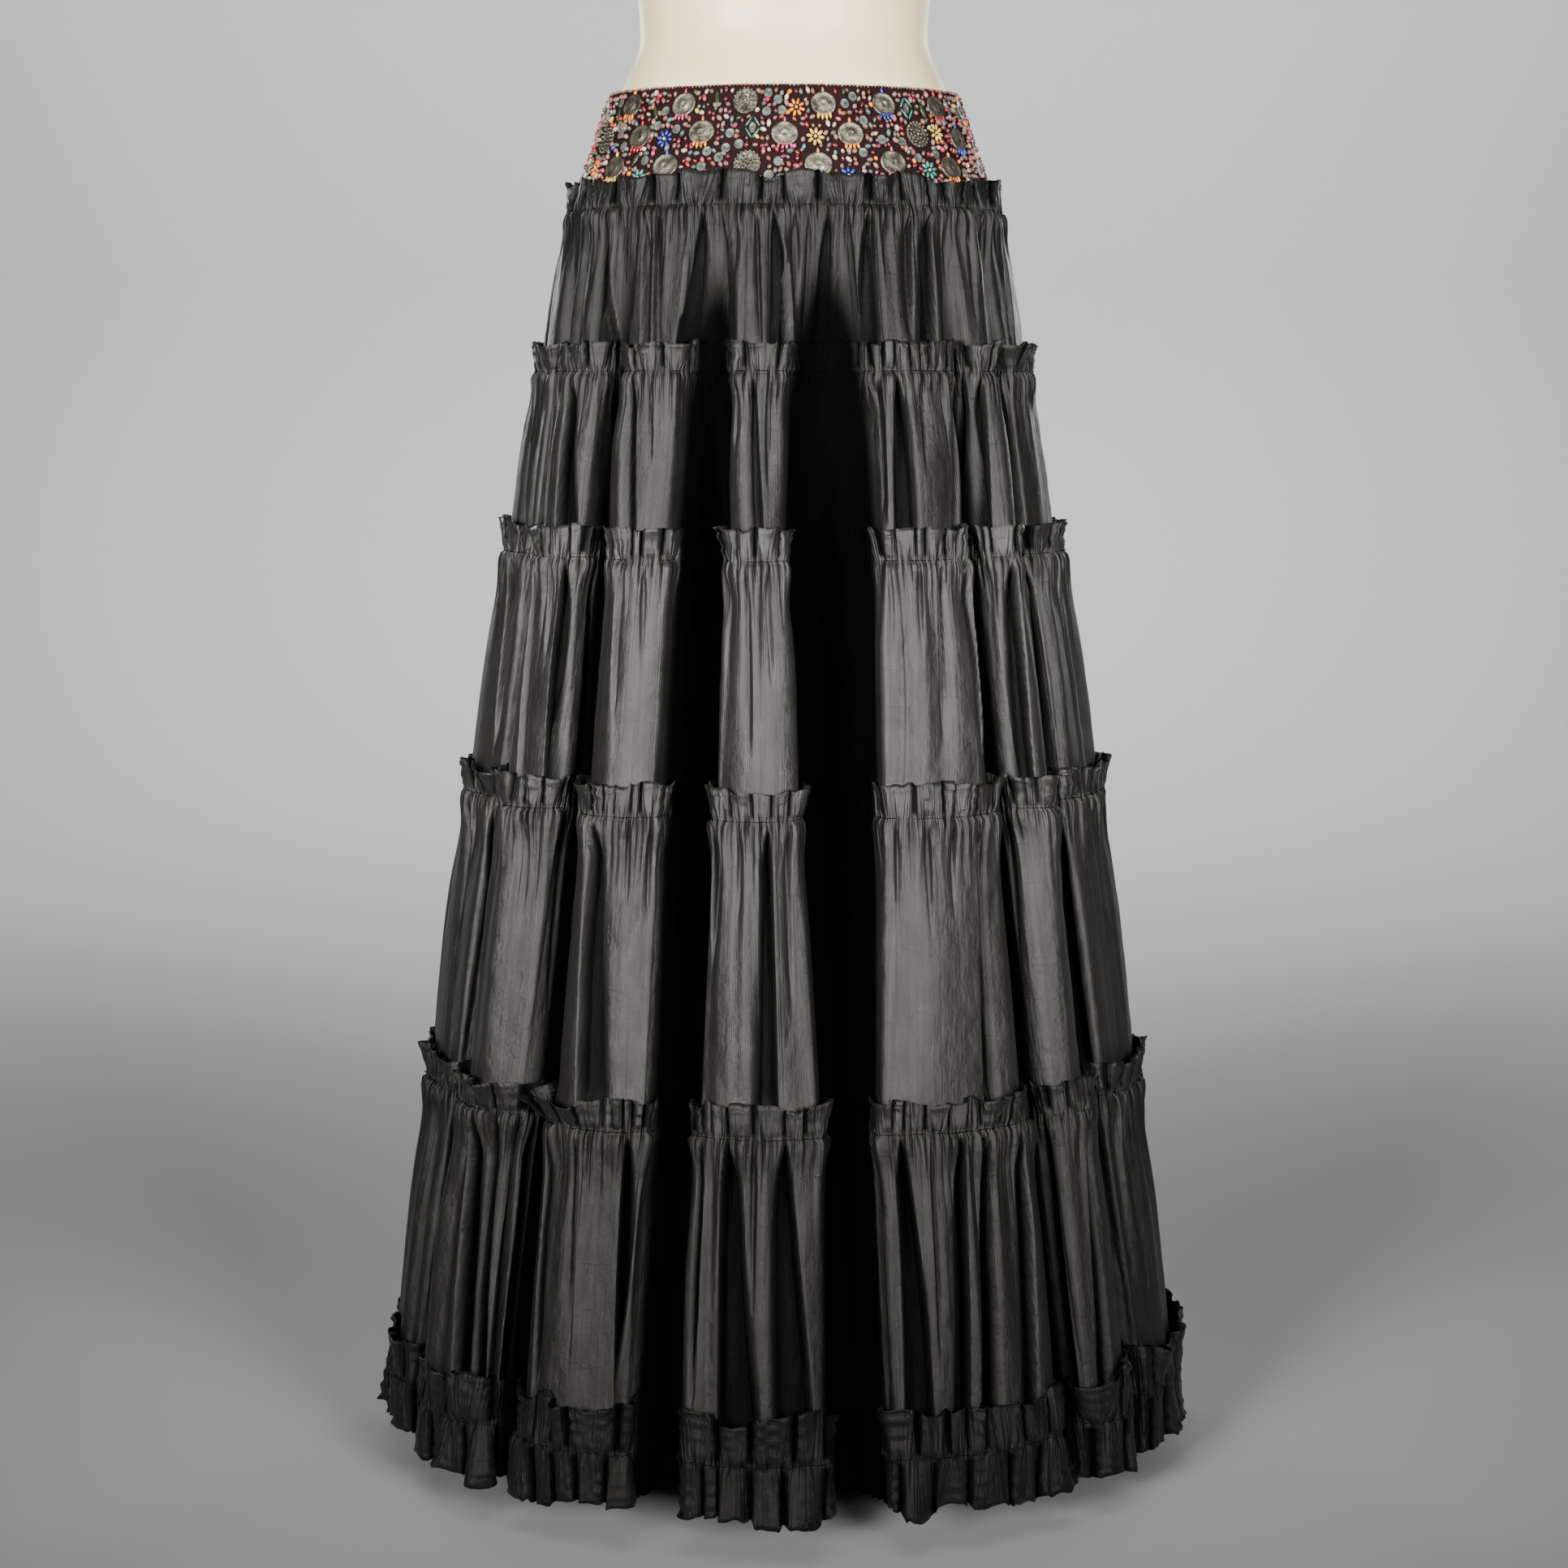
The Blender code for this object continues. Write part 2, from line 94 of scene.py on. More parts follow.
# %% [markdown]
# ## A plain studio
# The floor runs up into a grey wall behind the skirt in one soft curve, so that no line crosses
# the picture. It is a small grid of points swept from left to right.

# %% Build the floor and the wall behind
STUDIO_HALF_WIDTH = 6.0
STUDIO_FRONT = -4.5
WALL_BEHIND = 4.6
WALL_TOP = 5.0
CURVE_RADIUS = 1.1
CURVE_STEPS = 12
PAPER_GREY = (0.56, 0.56, 0.57, 1.0)
PAPER_ROUGHNESS = 0.9


def node_material(name):
    """A new material, with its node tree and its shader."""
    made = bpy.data.materials.new(name)
    made.use_nodes = True
    return made, made.node_tree, made.node_tree.nodes["Principled BSDF"]


def sweep_profile():
    """The studio's side view: floor, curve and wall."""
    profile = [(STUDIO_FRONT, 0.0)]
    for step in range(CURVE_STEPS + 1):
        turn = math.radians(90.0 * step / CURVE_STEPS)
        along = WALL_BEHIND - CURVE_RADIUS + CURVE_RADIUS * math.sin(turn)
        profile.append((along, CURVE_RADIUS - CURVE_RADIUS * math.cos(turn)))
    return profile + [(WALL_BEHIND, WALL_TOP)]


studio_mesh = bpy.data.meshes.new("studio")
studio_points = []
for y, z in sweep_profile():
    studio_points += [(-STUDIO_HALF_WIDTH, y, z), (STUDIO_HALF_WIDTH, y, z)]
studio_faces = [(i, i + 1, i + 3, i + 2) for i in range(0, len(studio_points) - 2, 2)]
studio_mesh.from_pydata(studio_points, [], studio_faces)
studio_mesh.shade_smooth()
studio = bpy.data.objects.new("studio", studio_mesh)
bpy.context.scene.collection.objects.link(studio)
paper, _, paper_shader = node_material("studio paper")
paper_shader.inputs["Base Color"].default_value = PAPER_GREY
paper_shader.inputs["Roughness"].default_value = PAPER_ROUGHNESS
studio_mesh.materials.append(paper)
print("studio faces:", len(studio_faces))

# %% [markdown]
# ## Soft light
# The cloth is almost black, so it shows only by what it reflects. Two soft boxes stand in front,
# one on each side: the rounded fronts of the folds catch them, and the deep folds, which see
# neither, stay black; the cloth inside them is also painted black, as painted shade. A weaker one
# hangs above and a wide one washes the wall. Two weak ones behind the skirt light its back for
# when it is seen from there.

# %% Hang the lamps
Lamp = namedtuple("Lamp", "name place target width height power spread")
LAMPS = [
    Lamp("left box", (-1.35, -2.7, 1.15), (0.0, 0.0, 0.95), 1.1, 0.8, 18.0, 46.0),
    Lamp("right box", (1.35, -2.7, 1.15), (0.0, 0.0, 0.95), 1.1, 0.8, 14.5, 46.0),
    Lamp("top box", (0.0, -0.9, 3.2), (0.0, 0.0, 1.0), 2.2, 1.4, 2.0, 60.0),
    Lamp("wall light", (0.0, 2.4, 3.4), (0.0, 4.4, 0.6), 5.0, 0.8, 112.0, 130.0),
    Lamp("back left box", (-1.7, 2.8, 1.5), (0.0, 0.0, 0.9), 0.9, 0.9, 2.0, 46.0),
    Lamp("back right box", (1.7, 2.8, 1.5), (0.0, 0.0, 0.9), 0.9, 0.9, 2.0, 46.0),
]
ROOM_LIGHT = 0.05


def hang_lamp(lamp):
    """An area light that faces its target."""
    data = bpy.data.lights.new(lamp.name, "AREA")
    data.shape = "RECTANGLE"
    data.size = lamp.width
    data.size_y = lamp.height
    data.energy = lamp.power
    data.spread = math.radians(lamp.spread)
    made = bpy.data.objects.new(lamp.name, data)
    made.location = lamp.place
    towards = [t - p for t, p in zip(lamp.target, lamp.place)]
    flat = math.hypot(towards[0], towards[1])
    made.rotation_euler = (math.atan2(flat, -towards[2]), 0.0, math.atan2(-towards[0], towards[1]))
    bpy.context.scene.collection.objects.link(made)


for lamp in LAMPS:
    hang_lamp(lamp)
room = bpy.data.worlds.new("room")
room.use_nodes = True
room.node_tree.nodes["Background"].inputs["Color"].default_value = (1.0, 1.0, 1.0, 1.0)
room.node_tree.nodes["Background"].inputs["Strength"].default_value = ROOM_LIGHT
bpy.context.scene.world = room
print("lamps:", len(LAMPS))

# %% [markdown]
# ## The skirt's measures
# These are the pattern's own measures, the same ones that the plain model was built from. Seen
# from above, each seam is an oval with deep folds let into it. A table gives the oval's half
# sizes at each seam, and another gives where each hanging fold lies, how wide its mouth is at
# the hip and at the hem, and its share of the depth.

# %% Write down the seams and the folds
SEAM_GAP = 0.0004
Section = namedtuple("Section", "name z half_width half_depth fold_depth")
SECTIONS = [
    Section("yoke_top", 1.0855, 0.1345, 0.1005, 0.000),
    Section("seam_1", 0.9950, 0.1655, 0.1250, 0.000),
    Section("seam_2", 0.8715, 0.1875, 0.1530, 0.030),
    Section("seam_3", 0.7315, 0.2075, 0.1740, 0.082),
    Section("seam_4", 0.5420, 0.2385, 0.2030, 0.100),
    Section("seam_5", 0.3105, 0.2745, 0.2370, 0.078),
    Section("seam_6", 0.0735, 0.3130, 0.2740, 0.052),
    Section("hem", 0.0300, 0.3150, 0.2760, 0.048),
]
LEVEL = {section.name: section for section in SECTIONS}
Fold = namedtuple("Fold", "azimuth width_high width_low share")
FRONT_FOLDS = [
    Fold(-68.0, 8.0, 6.0, 0.50),
    Fold(-43.5, 9.5, 7.0, 0.75),
    Fold(-18.0, 14.0, 8.5, 1.00),
    Fold(10.5, 22.0, 9.5, 1.10),
    Fold(45.0, 8.0, 6.5, 0.60),
    Fold(62.0, 9.5, 7.0, 0.70),
]
BACK_FOLDS = [
    Fold(111.0, 9.0, 6.5, 0.70),
    Fold(134.0, 12.0, 7.0, 0.95),
    Fold(158.0, 11.0, 6.5, 0.80),
    Fold(181.0, 14.0, 7.0, 1.05),
    Fold(206.0, 10.0, 6.5, 0.75),
    Fold(228.0, 12.0, 7.0, 0.95),
    Fold(250.0, 9.0, 6.5, 0.65),
]
HALF_COLUMNS = 60
HALVES = [
    (FRONT_FOLDS, -90.0, 90.0, 5),
    (BACK_FOLDS, 90.0, 270.0, 4),
]
FOLD_ROUNDNESS = 0.6
LOBE_BULGE = 0.010
LOBE_ROUNDNESS = 0.8
print("seams:", len(SECTIONS), "folds:", len(FRONT_FOLDS) + len(BACK_FOLDS))

# %% [markdown]
# ## The form that the folds make
# One function has to answer a single question: where is the cloth's surface at this height and
# this far round? The round is counted in the plain model's columns, 0 to 120, from the side
# seam on the left across the front. Between two folds the cloth bulges out a little, as a lobe;
# inside a fold it runs in to a narrow bottom and back out. With numpy a whole row of points is
# worked out at once.

# %% Work out the form at any height
Span = namedtuple("Span", "kind before after first count start end")


def between(low, high, share):
    """Linear interpolation."""
    return low + (high - low) * share


def section_at(z):
    """Half width, half depth and fold depth of the oval at a height."""
    levels = [section.z for section in reversed(SECTIONS)]
    found = []
    for name in ("half_width", "half_depth", "fold_depth"):
        values = [getattr(section, name) for section in reversed(SECTIONS)]
        found.append(float(np.interp(z, levels, values)))
    return found


def fold_edges(fold, z):
    """The azimuths of a fold's two edges at a height."""
    high = LEVEL["seam_3"].z
    low = LEVEL["seam_5"].z
    share = min(1.0, max(0.0, (high - z) / (high - low)))
    width = between(fold.width_high, fold.width_low, share)
    return fold.azimuth - width / 2, fold.azimuth + width / 2


def list_spans():
    """Lobes and folds all round, each with the columns that it takes."""
    spans = []
    first = 0
    for folds, start, end, fold_columns in HALVES:
        edges = [start]
        for fold in folds:
            edges.extend(fold_edges(fold, LEVEL["seam_3"].z))
        edges.append(end)
        widths = [edges[2 * i + 1] - edges[2 * i] for i in range(len(folds) + 1)]
        free = HALF_COLUMNS - fold_columns * len(folds)
        columns = [2 * max(1, round(0.5 * free * width / sum(widths))) for width in widths]
        columns[0] -= 1
        columns[-1] -= 1
        columns[widths.index(max(widths[1:-1]))] += free - sum(columns)
        for i, count in enumerate(columns):
            before = folds[i - 1] if i else None
            after = folds[i] if i < len(folds) else None
            spans.append(Span("lobe", before, after, first, count, start, end))
            first += count
            if after:
                spans.append(Span("fold", after, None, first, fold_columns, start, end))
                first += fold_columns
    return spans


SPANS = list_spans()
ROUND = 2 * HALF_COLUMNS


def skin(z, columns):
    """Points of the form at a height, and how deep in a fold each one lies."""
    half_width, half_depth, fold_depth = section_at(z)
    azimuth = np.zeros(len(columns))
    reach_in = np.zeros(len(columns))
    depth = np.zeros(len(columns))
    wrapped = np.mod(columns, ROUND)
    for span in SPANS:
        here = (wrapped >= span.first) & (wrapped < span.first + span.count)
        along = (wrapped[here] - span.first) / span.count
        if span.kind == "fold":
            low, high = fold_edges(span.before, z)
            inward = np.sin(np.pi * along) ** FOLD_ROUNDNESS
            depth[here] = span.before.share * inward * fold_depth
            reach_in[here] = depth[here]
        else:
            low = fold_edges(span.before, z)[1] if span.before else span.start
            high = fold_edges(span.after, z)[0] if span.after else span.end
            if span.before and span.after:
                rise = np.sin(np.pi * along) ** LOBE_ROUNDNESS
            else:
                rise = np.cos(0.5 * np.pi * (along if not span.before else 1.0 - along))
            reach_in[here] = -LOBE_BULGE * rise * fold_depth / LEVEL["seam_5"].fold_depth
        azimuth[here] = np.radians(between(low, high, along))
    across = np.stack([half_width * np.sin(azimuth), -half_depth * np.cos(azimuth)], axis=1)
    outward = np.stack([half_depth * np.sin(azimuth), -half_width * np.cos(azimuth)], axis=1)
    outward /= np.linalg.norm(outward, axis=1)[:, None]
    return across - outward * reach_in[:, None], depth


print("spans round the skirt:", len(SPANS), "ending at column", SPANS[-1].first + SPANS[-1].count)

# %% [markdown]
# ## How gathers behave
# Thread drawn up through a strip crowds the cloth into small sharp tucks. A few centimetres
# down, small tucks run together into wider ones, and those into soft folds, until the next
# seam pulls the cloth smooth again. This is built as layers of ridges and facets over one
# another: each wide one starts and ends on the tucks of the finer layer, so they really merge.
# Each has its own height and its own length, from a seeded draw.

# %% Make the ridges of a gathered edge
def eased(value):
    """A smooth step from 0 to 1."""
    value = np.clip(value, 0.0, 1.0)
    return value * value * (3.0 - 2.0 * value)


def tuck_edges(length, smallest, largest, chance):
    """Where the tucks of a drawn-up edge meet, all round."""
    gaps = chance.uniform(smallest, largest, int(length / (0.5 * (smallest + largest))))
    edges = np.concatenate([[0.0], np.cumsum(gaps)])
    return edges * length / edges[-1]


def merged(edges, fewest, most, chance):
    """Every few edges of a finer layer, as the edges of a wider one."""
    kept = [0]
    while kept[-1] < len(edges) - 1:
        kept.append(min(len(edges) - 1, kept[-1] + int(chance.integers(fewest, most + 1))))
    if len(kept) > 2 and kept[-1] - kept[-2] < fewest:
        kept.pop(-2)
    return edges[kept]


def ridges(distance, edges, heights, roundness):
    """A row of round ridges with narrow troughs where they meet."""
    place = np.mod(distance, edges[-1])
    number = np.clip(np.searchsorted(edges, place, side="right") - 1, 0, len(edges) - 2)
    share = (place - edges[number]) / (edges[number + 1] - edges[number])
    return heights[number] * np.sin(np.pi * np.clip(share, 0.0, 1.0)) ** roundness


def facets(distance, knots, heights, rounding):
    """A row of flat facets from knot to knot, with its corners rounded over a short distance."""
    closed = np.append(heights[:-1], heights[0])
    total = np.zeros(len(distance))
    for shift in (-1.0, -0.5, 0.0, 0.5, 1.0):
        total += np.interp(np.mod(distance + shift * rounding, knots[-1]), knots, closed) / 5.0
    return total


def in_and_out(count, low, high, chance):
    """Heights that swing out and in by turns, each by its own amount."""
    swing = np.where(np.arange(count) % 2 == 0, 1.0, -1.0)
    return swing * chance.uniform(low, high, count)


def slow_noise(distance, length, waves, chance):
    """Smooth uneven values from -1 to 1 that close up after one round."""
    total = np.zeros(len(distance))
    for wave in range(1, waves + 1):
        phase = chance.uniform(0.0, 2.0 * np.pi)
        total += np.sin(2.0 * np.pi * wave * distance / length + phase) * chance.uniform(0.3, 1.0)
    return total / np.abs(total).max()


demo_chance = np.random.default_rng(1)
demo_edges = tuck_edges(2.0, 0.006, 0.010, demo_chance)
print("tucks in two metres:", len(demo_edges) - 1)

# %% [markdown]
# ## Columns where the eye needs them
# A large fold's hidden walls need few points, the lobes that face the viewer need many, and the
# narrow folds need most. So the columns are shared out along the seam by those weights. The
# same columns then run from the top of a strip to its bottom, as threads do. The back, which
# lies in softer folds, gets fewer.

# %% Share out the columns
FOLD_WEIGHT = 0.30
NARROW_WEIGHT = 2.2
NARROW_ZONE = 0.0040
NO_FLARE_BELOW = 0.025
BACK_SHARE = 0.58
SAMPLES = 12000
Columns = namedtuple("Columns", "place distance length front")


def seam_round(z):
    """Fine samples round a seam: columns, the distance to each and how deep in a fold it is."""
    fine = np.linspace(0.0, ROUND, SAMPLES, endpoint=False)
    points, depth = skin(z, fine)
    steps = np.linalg.norm(np.roll(points, -1, axis=0) - points, axis=1)
    return fine, steps, depth


def shared_columns(z, count, narrow_folds=()):
    """Column positions in one round, the distance to each, and how many the front has."""
    fine, steps, depth = seam_round(z)
    lengths = np.concatenate([[0.0], np.cumsum(steps)])
    weight = between(1.0, FOLD_WEIGHT, np.clip(depth / NO_FLARE_BELOW, 0.0, 1.0))
    for fold in narrow_folds:
        low, high = sorted((fold.place, fold.place_low))
        near = (lengths[:-1] > low - NARROW_ZONE) & (lengths[:-1] < high + NARROW_ZONE)
        weight += np.where(near, NARROW_WEIGHT * weight, 0.0)
    shares = np.concatenate([[0.0], np.cumsum(steps * weight)])
    fine_closed = np.append(fine, ROUND)
    middle = np.interp(HALF_COLUMNS, fine_closed, shares)
    back_count = int(BACK_SHARE * count)
    front = np.linspace(0.0, middle, count, endpoint=False)
    back = np.linspace(middle, shares[-1], back_count, endpoint=False)
    place = np.interp(np.concatenate([front, back]), shares, fine_closed)
    return Columns(place, np.interp(place, fine_closed, lengths), lengths[-1], count)


test_columns = shared_columns(LEVEL["seam_3"].z, 600)
print("third seam, metres round with its folds:", round(test_columns.length, 3))

# %% [markdown]
# ## Narrow folds
# On every lobe the cloth also tucks behind itself here and there, in a narrow fold that stays
# black inside. It starts at the gather line as a slit. Some open wider all the way down to the
# next seam, others close to a point. One side is steep and the other slopes gently into it,
# since stiff cloth lies over to one side.
# The main ones on the front are placed as they hang in the photograph: where each starts and
# ends and how wide it is there, in the photograph's own pixels. The sides and the back get
# similar ones at uneven distances.

# %% Place the narrow folds of a strip
NarrowFold = namedtuple("NarrowFold", "place place_low core_high core_low depth slope side reach")
Seen = namedtuple("Seen", "x_top x_bottom wide_top wide_bottom reach")
STEEP_SIDE = 0.0018
NARROW_DARK = 0.012
MOST_LEAN = 0.010
SHORT_REACH = 0.8
SHORT_SHARE = 0.6
LONG_REACH = 1.4
FOLD_POINT = 0.25
HAND_APART = 0.009
HAND_SLOPE = (0.005, 0.013)
LEAST_DEPTH = 0.25
DEPTH_PER_PIXEL = 0.055
OPENING_CHANCE = 0.55
DRAWN_WIDE = (0.0010, 0.0035)
DRAWN_LEAN = 0.008
DRAWN_DEPTH = (0.4, 1.0)
DRAWN_SLOPE = (0.003, 0.010)
DRAWN_REACH = (0.3, 1.0)
SLIT_OPENS = 0.035
SLIT_DEEPENS = 0.018
SLOPE_AT_SLIT = 0.25
GENTLE_DEPTH = 0.7
GENTLE_CURVE = 2.4
PIXEL = 0.00063
HAND_FOLDS = {
    "tier_1": [
        Seen(703, 694, 3, 8, 1.4), Seen(731, 735, 2, 15, 1.4), Seen(755, 760, 3, 16, 1.4),
        Seen(790, 777, 6, 3, 0.7), Seen(802, 800, 3, 4, 1.2), Seen(815, 812, 5, 5, 1.4),
        Seen(848, 846, 5, 2, 0.3), Seen(868, 872, 3, 16, 1.4), Seen(889, 893, 5, 3, 0.8),
        Seen(910, 908, 6, 4, 0.4), Seen(932, 938, 3, 2, 0.9), Seen(952, 962, 3, 20, 1.4),
        Seen(978, 970, 9, 4, 0.6), Seen(997, 990, 4, 3, 0.8), Seen(1022, 1014, 6, 20, 1.4),
        Seen(1042, 1038, 4, 7, 1.3), Seen(1068, 1062, 5, 16, 1.4), Seen(1089, 1090, 4, 3, 0.4),
        Seen(1116, 1121, 3, 8, 0.8), Seen(1139, 1138, 3, 18, 1.4), Seen(1162, 1160, 5, 2, 0.4),
        Seen(1183, 1186, 4, 2, 0.7), Seen(1205, 1203, 7, 6, 1.4), Seen(1222, 1226, 4, 3, 0.9),
    ],
    "tier_2": [
        Seen(669, 668, 4, 12, 1.4), Seen(690, 684, 4, 2, 0.5), Seen(714, 724, 5, 20, 1.4),
        Seen(757, 753, 12, 6, 1.4), Seen(785, 787, 4, 9, 1.4), Seen(803, 806, 4, 2, 0.5),
        Seen(912, 909, 4, 2, 0.4), Seen(928, 936, 3, 8, 1.0), Seen(949, 946, 5, 2, 0.6),
        Seen(1082, 1092, 4, 6, 0.8), Seen(1104, 1117, 4, 18, 1.1), Seen(1131, 1128, 5, 2, 0.5),
        Seen(1165, 1171, 4, 8, 1.4), Seen(1187, 1180, 5, 5, 1.0), Seen(1205, 1194, 6, 10, 1.2),
        Seen(1226, 1232, 6, 18, 1.4),
    ],
    "tier_3": [
        Seen(640, 618, 4, 3, 0.8), Seen(669, 652, 3, 5, 1.4), Seen(686, 680, 5, 2, 0.4),
        Seen(700, 706, 4, 18, 1.4), Seen(734, 718, 4, 9, 1.4), Seen(771, 778, 4, 2, 0.6),
        Seen(795, 801, 4, 2, 0.4), Seen(897, 892, 4, 2, 0.4), Seen(921, 923, 4, 3, 0.75),
        Seen(944, 951, 3, 2, 0.5), Seen(1098, 1092, 4, 2, 0.4), Seen(1130, 1123, 5, 2, 0.35),
        Seen(1156, 1152, 3, 8, 0.7), Seen(1181, 1212, 4, 8, 1.1), Seen(1243, 1237, 6, 14, 1.4),
        Seen(1262, 1250, 3, 6, 1.2),
    ],
    "tier_4": [
        Seen(590, 570, 4, 14, 1.4), Seen(618, 603, 13, 4, 0.4), Seen(650, 646, 5, 2, 0.3),
        Seen(697, 672, 5, 3, 0.7), Seen(737, 742, 6, 22, 1.4), Seen(776, 770, 4, 2, 0.3),
        Seen(800, 804, 5, 2, 0.35), Seen(886, 880, 7, 3, 0.45), Seen(915, 912, 4, 2, 0.3),
        Seen(945, 946, 3, 13, 1.4), Seen(968, 978, 3, 2, 0.6), Seen(1105, 1110, 4, 2, 0.3),
        Seen(1141, 1150, 6, 2, 0.35), Seen(1172, 1160, 4, 2, 0.3), Seen(1201, 1226, 4, 13, 1.4),
        Seen(1243, 1262, 5, 2, 0.5), Seen(1300, 1325, 8, 30, 1.4),
    ],
    "tier_5": [
        Seen(545, 530, 5, 10, 1.4), Seen(572, 545, 4, 9, 1.4), Seen(590, 572, 5, 14, 1.4),
        Seen(616, 592, 4, 18, 1.4), Seen(641, 634, 5, 6, 1.2), Seen(662, 656, 4, 12, 1.4),
        Seen(683, 690, 4, 5, 0.9), Seen(715, 706, 5, 4, 0.7), Seen(775, 782, 4, 16, 1.4),
        Seen(868, 850, 5, 4, 0.8), Seen(899, 915, 3, 40, 1.4), Seen(930, 934, 4, 3, 0.5),
        Seen(967, 992, 4, 34, 1.4), Seen(1080, 1072, 4, 4, 0.9), Seen(1108, 1138, 5, 26, 1.4),
        Seen(1145, 1160, 4, 4, 0.7), Seen(1180, 1185, 5, 12, 1.4), Seen(1208, 1222, 4, 16, 1.4),
        Seen(1250, 1262, 5, 10, 1.4), Seen(1290, 1310, 5, 14, 1.4), Seen(1335, 1362, 4, 14, 1.4),
    ],
}


def seen_place(z, x, lengths):
    """Where along the seam the outer cloth shows at a pixel column of the photograph."""
    fine = np.linspace(0.0, HALF_COLUMNS, SAMPLES // 2, endpoint=False)
    points, depth = skin(z, fine)
    down = math.radians(CAMERA_DOWN)
    ahead = points[:, 1] - CAMERA_PLACE[1]
    away = ahead * math.cos(down) - (z - CAMERA_PLACE[2]) * math.sin(down)
    pixel = PHOTO_SIDE / 2 + FOCAL_PIXELS * points[:, 0] / away
    misses = np.abs(pixel - x) + np.where(depth > NARROW_DARK, PHOTO_SIDE, 0.0)
    return float(lengths[int(np.argmin(misses))])


def hand_folds(strip, lengths, chance):
    """The narrow folds that were read off the photograph, on one strip's front."""
    found = []
    for seen in HAND_FOLDS[strip.name]:
        wide = max(seen.wide_top, seen.wide_bottom)
        place = seen_place(LEVEL[strip.seam].z, seen.x_top, lengths)
        place_low = seen_place(LEVEL[strip.next_seam].z, seen.x_bottom, lengths)
        size = min(1.0, LEAST_DEPTH + DEPTH_PER_PIXEL * wide)
        size *= SHORT_SHARE if seen.reach < SHORT_REACH else 1.0
        found.append(
            NarrowFold(
                place,
                place + min(MOST_LEAN, max(-MOST_LEAN, place_low - place)),
                0.5 * PIXEL * seen.wide_top,
                0.5 * PIXEL * seen.wide_bottom,
                strip.deepest * size,
                chance.uniform(*HAND_SLOPE),
                chance.choice([-1.0, 1.0]),
                seen.reach,
            )
        )
    return found


def drawn_folds(strip, length, chance):
    """Narrow folds at uneven distances all round a seam."""
    found = []
    place = chance.uniform(0.0, strip.nearest)
    while place < length - strip.nearest:
        opens = chance.uniform(0.0, 1.0) < OPENING_CHANCE
        wide = chance.uniform(*DRAWN_WIDE)
        found.append(
            NarrowFold(
                place,
                place + chance.uniform(-DRAWN_LEAN, DRAWN_LEAN),
                0.4 * wide if opens else wide,
                2.2 * wide if opens else 0.6 * wide,
                strip.deepest * chance.uniform(*DRAWN_DEPTH),
                chance.uniform(*DRAWN_SLOPE),
                chance.choice([-1.0, 1.0]),
                LONG_REACH if opens else chance.uniform(*DRAWN_REACH),
            )
        )
        place += chance.uniform(strip.nearest, strip.farthest)
    return found


def strip_folds(strip, chance):
    """All the narrow folds of a strip: the hand-placed front and a similar back."""
    _, steps, _ = seam_round(LEVEL[strip.seam].z)
    lengths = np.concatenate([[0.0], np.cumsum(steps)])
    placed = hand_folds(strip, lengths, chance)
    drawn = drawn_folds(strip, lengths[-1], chance)
    middle = lengths[SAMPLES // 2]
    return placed + [fold for fold in drawn if fold.place > middle + HAND_APART]


def signed_distance(distance, place, length):
    """How far along the seam each column lies from a place, the short way round."""
    return np.mod(distance - place + 0.5 * length, length) - 0.5 * length


def narrow_depths(distance, length, folds, drop, share):
    """How far the cloth runs in at its narrow folds, at one height."""
    deepest = np.zeros(len(distance))
    opened = eased(drop / SLIT_OPENS)
    deepened = eased(drop / SLIT_DEEPENS)
    for fold in folds:
        pointed = min(1.0, max(0.0, (fold.reach - share) / FOLD_POINT)) ** 0.5
        core = between(fold.core_high, fold.core_low, share ** 0.8) * pointed * opened
        slope = fold.slope * between(SLOPE_AT_SLIT, 1.0, opened)
        place = between(fold.place, fold.place_low, share)
        away = fold.side * signed_distance(distance, place, length)
        gentle = GENTLE_DEPTH * np.clip(1.0 - (away - core) / slope, 0.0, 1.0) ** GENTLE_CURVE
        gentle = np.where(away > core, gentle, 0.0)
        steep = np.clip(1.0 - (-core - away) / STEEP_SIDE, 0.0, 1.0) * (away < -core)
        inside = np.where(np.abs(away) <= core, 1.0, np.maximum(gentle, steep))
        size = fold.depth * deepened * pointed
        deepest = np.maximum(deepest, size * inside)
    return deepest


print("folds placed by hand:", sum(len(folds) for folds in HAND_FOLDS.values()))

# %% [markdown]
# ## Noise like crumpled cloth
# Taffeta is stiff: it holds small dents and creases from folding and sitting. They are worked
# out on the flat cloth, so that they bend with it. Values are drawn for the crossings of a
# loose grid and eased between them, and where that noise passes through zero a crease forms.

# %% Draw uneven dents and creases
def lattice_noise(across, down, cell_across, cell_down, chance):
    """Smooth noise from -1 to 1 on flat cloth, with cells of the given size."""
    x = across / cell_across
    y = down / cell_down
    x0 = np.floor(x).astype(int)
    y0 = np.floor(y).astype(int)
    x0 -= x0.min()
    y0 -= y0.min()
    drawn = chance.uniform(-1.0, 1.0, (x0.max() + 2, y0.max() + 2))
    ease_x = eased(x - np.floor(x))
    ease_y = eased(y - np.floor(y))
    near = between(drawn[x0, y0], drawn[x0 + 1, y0], ease_x)
    far = between(drawn[x0, y0 + 1], drawn[x0 + 1, y0 + 1], ease_x)
    return between(near, far, ease_y)


def crease_noise(across, down, cell, chance):
    """Sharp lines with smooth cloth between them, from 0 to 1 on a line."""
    return 1.0 - np.minimum(1.0, 3.0 * np.abs(lattice_noise(across, down, cell, cell, chance)))


demo_noise = lattice_noise(np.linspace(0, 0.3, 50), np.zeros(50), 0.02, 0.02, demo_chance)
print("noise runs from", round(float(demo_noise.min()), 2), "to", round(float(demo_noise.max()), 2))
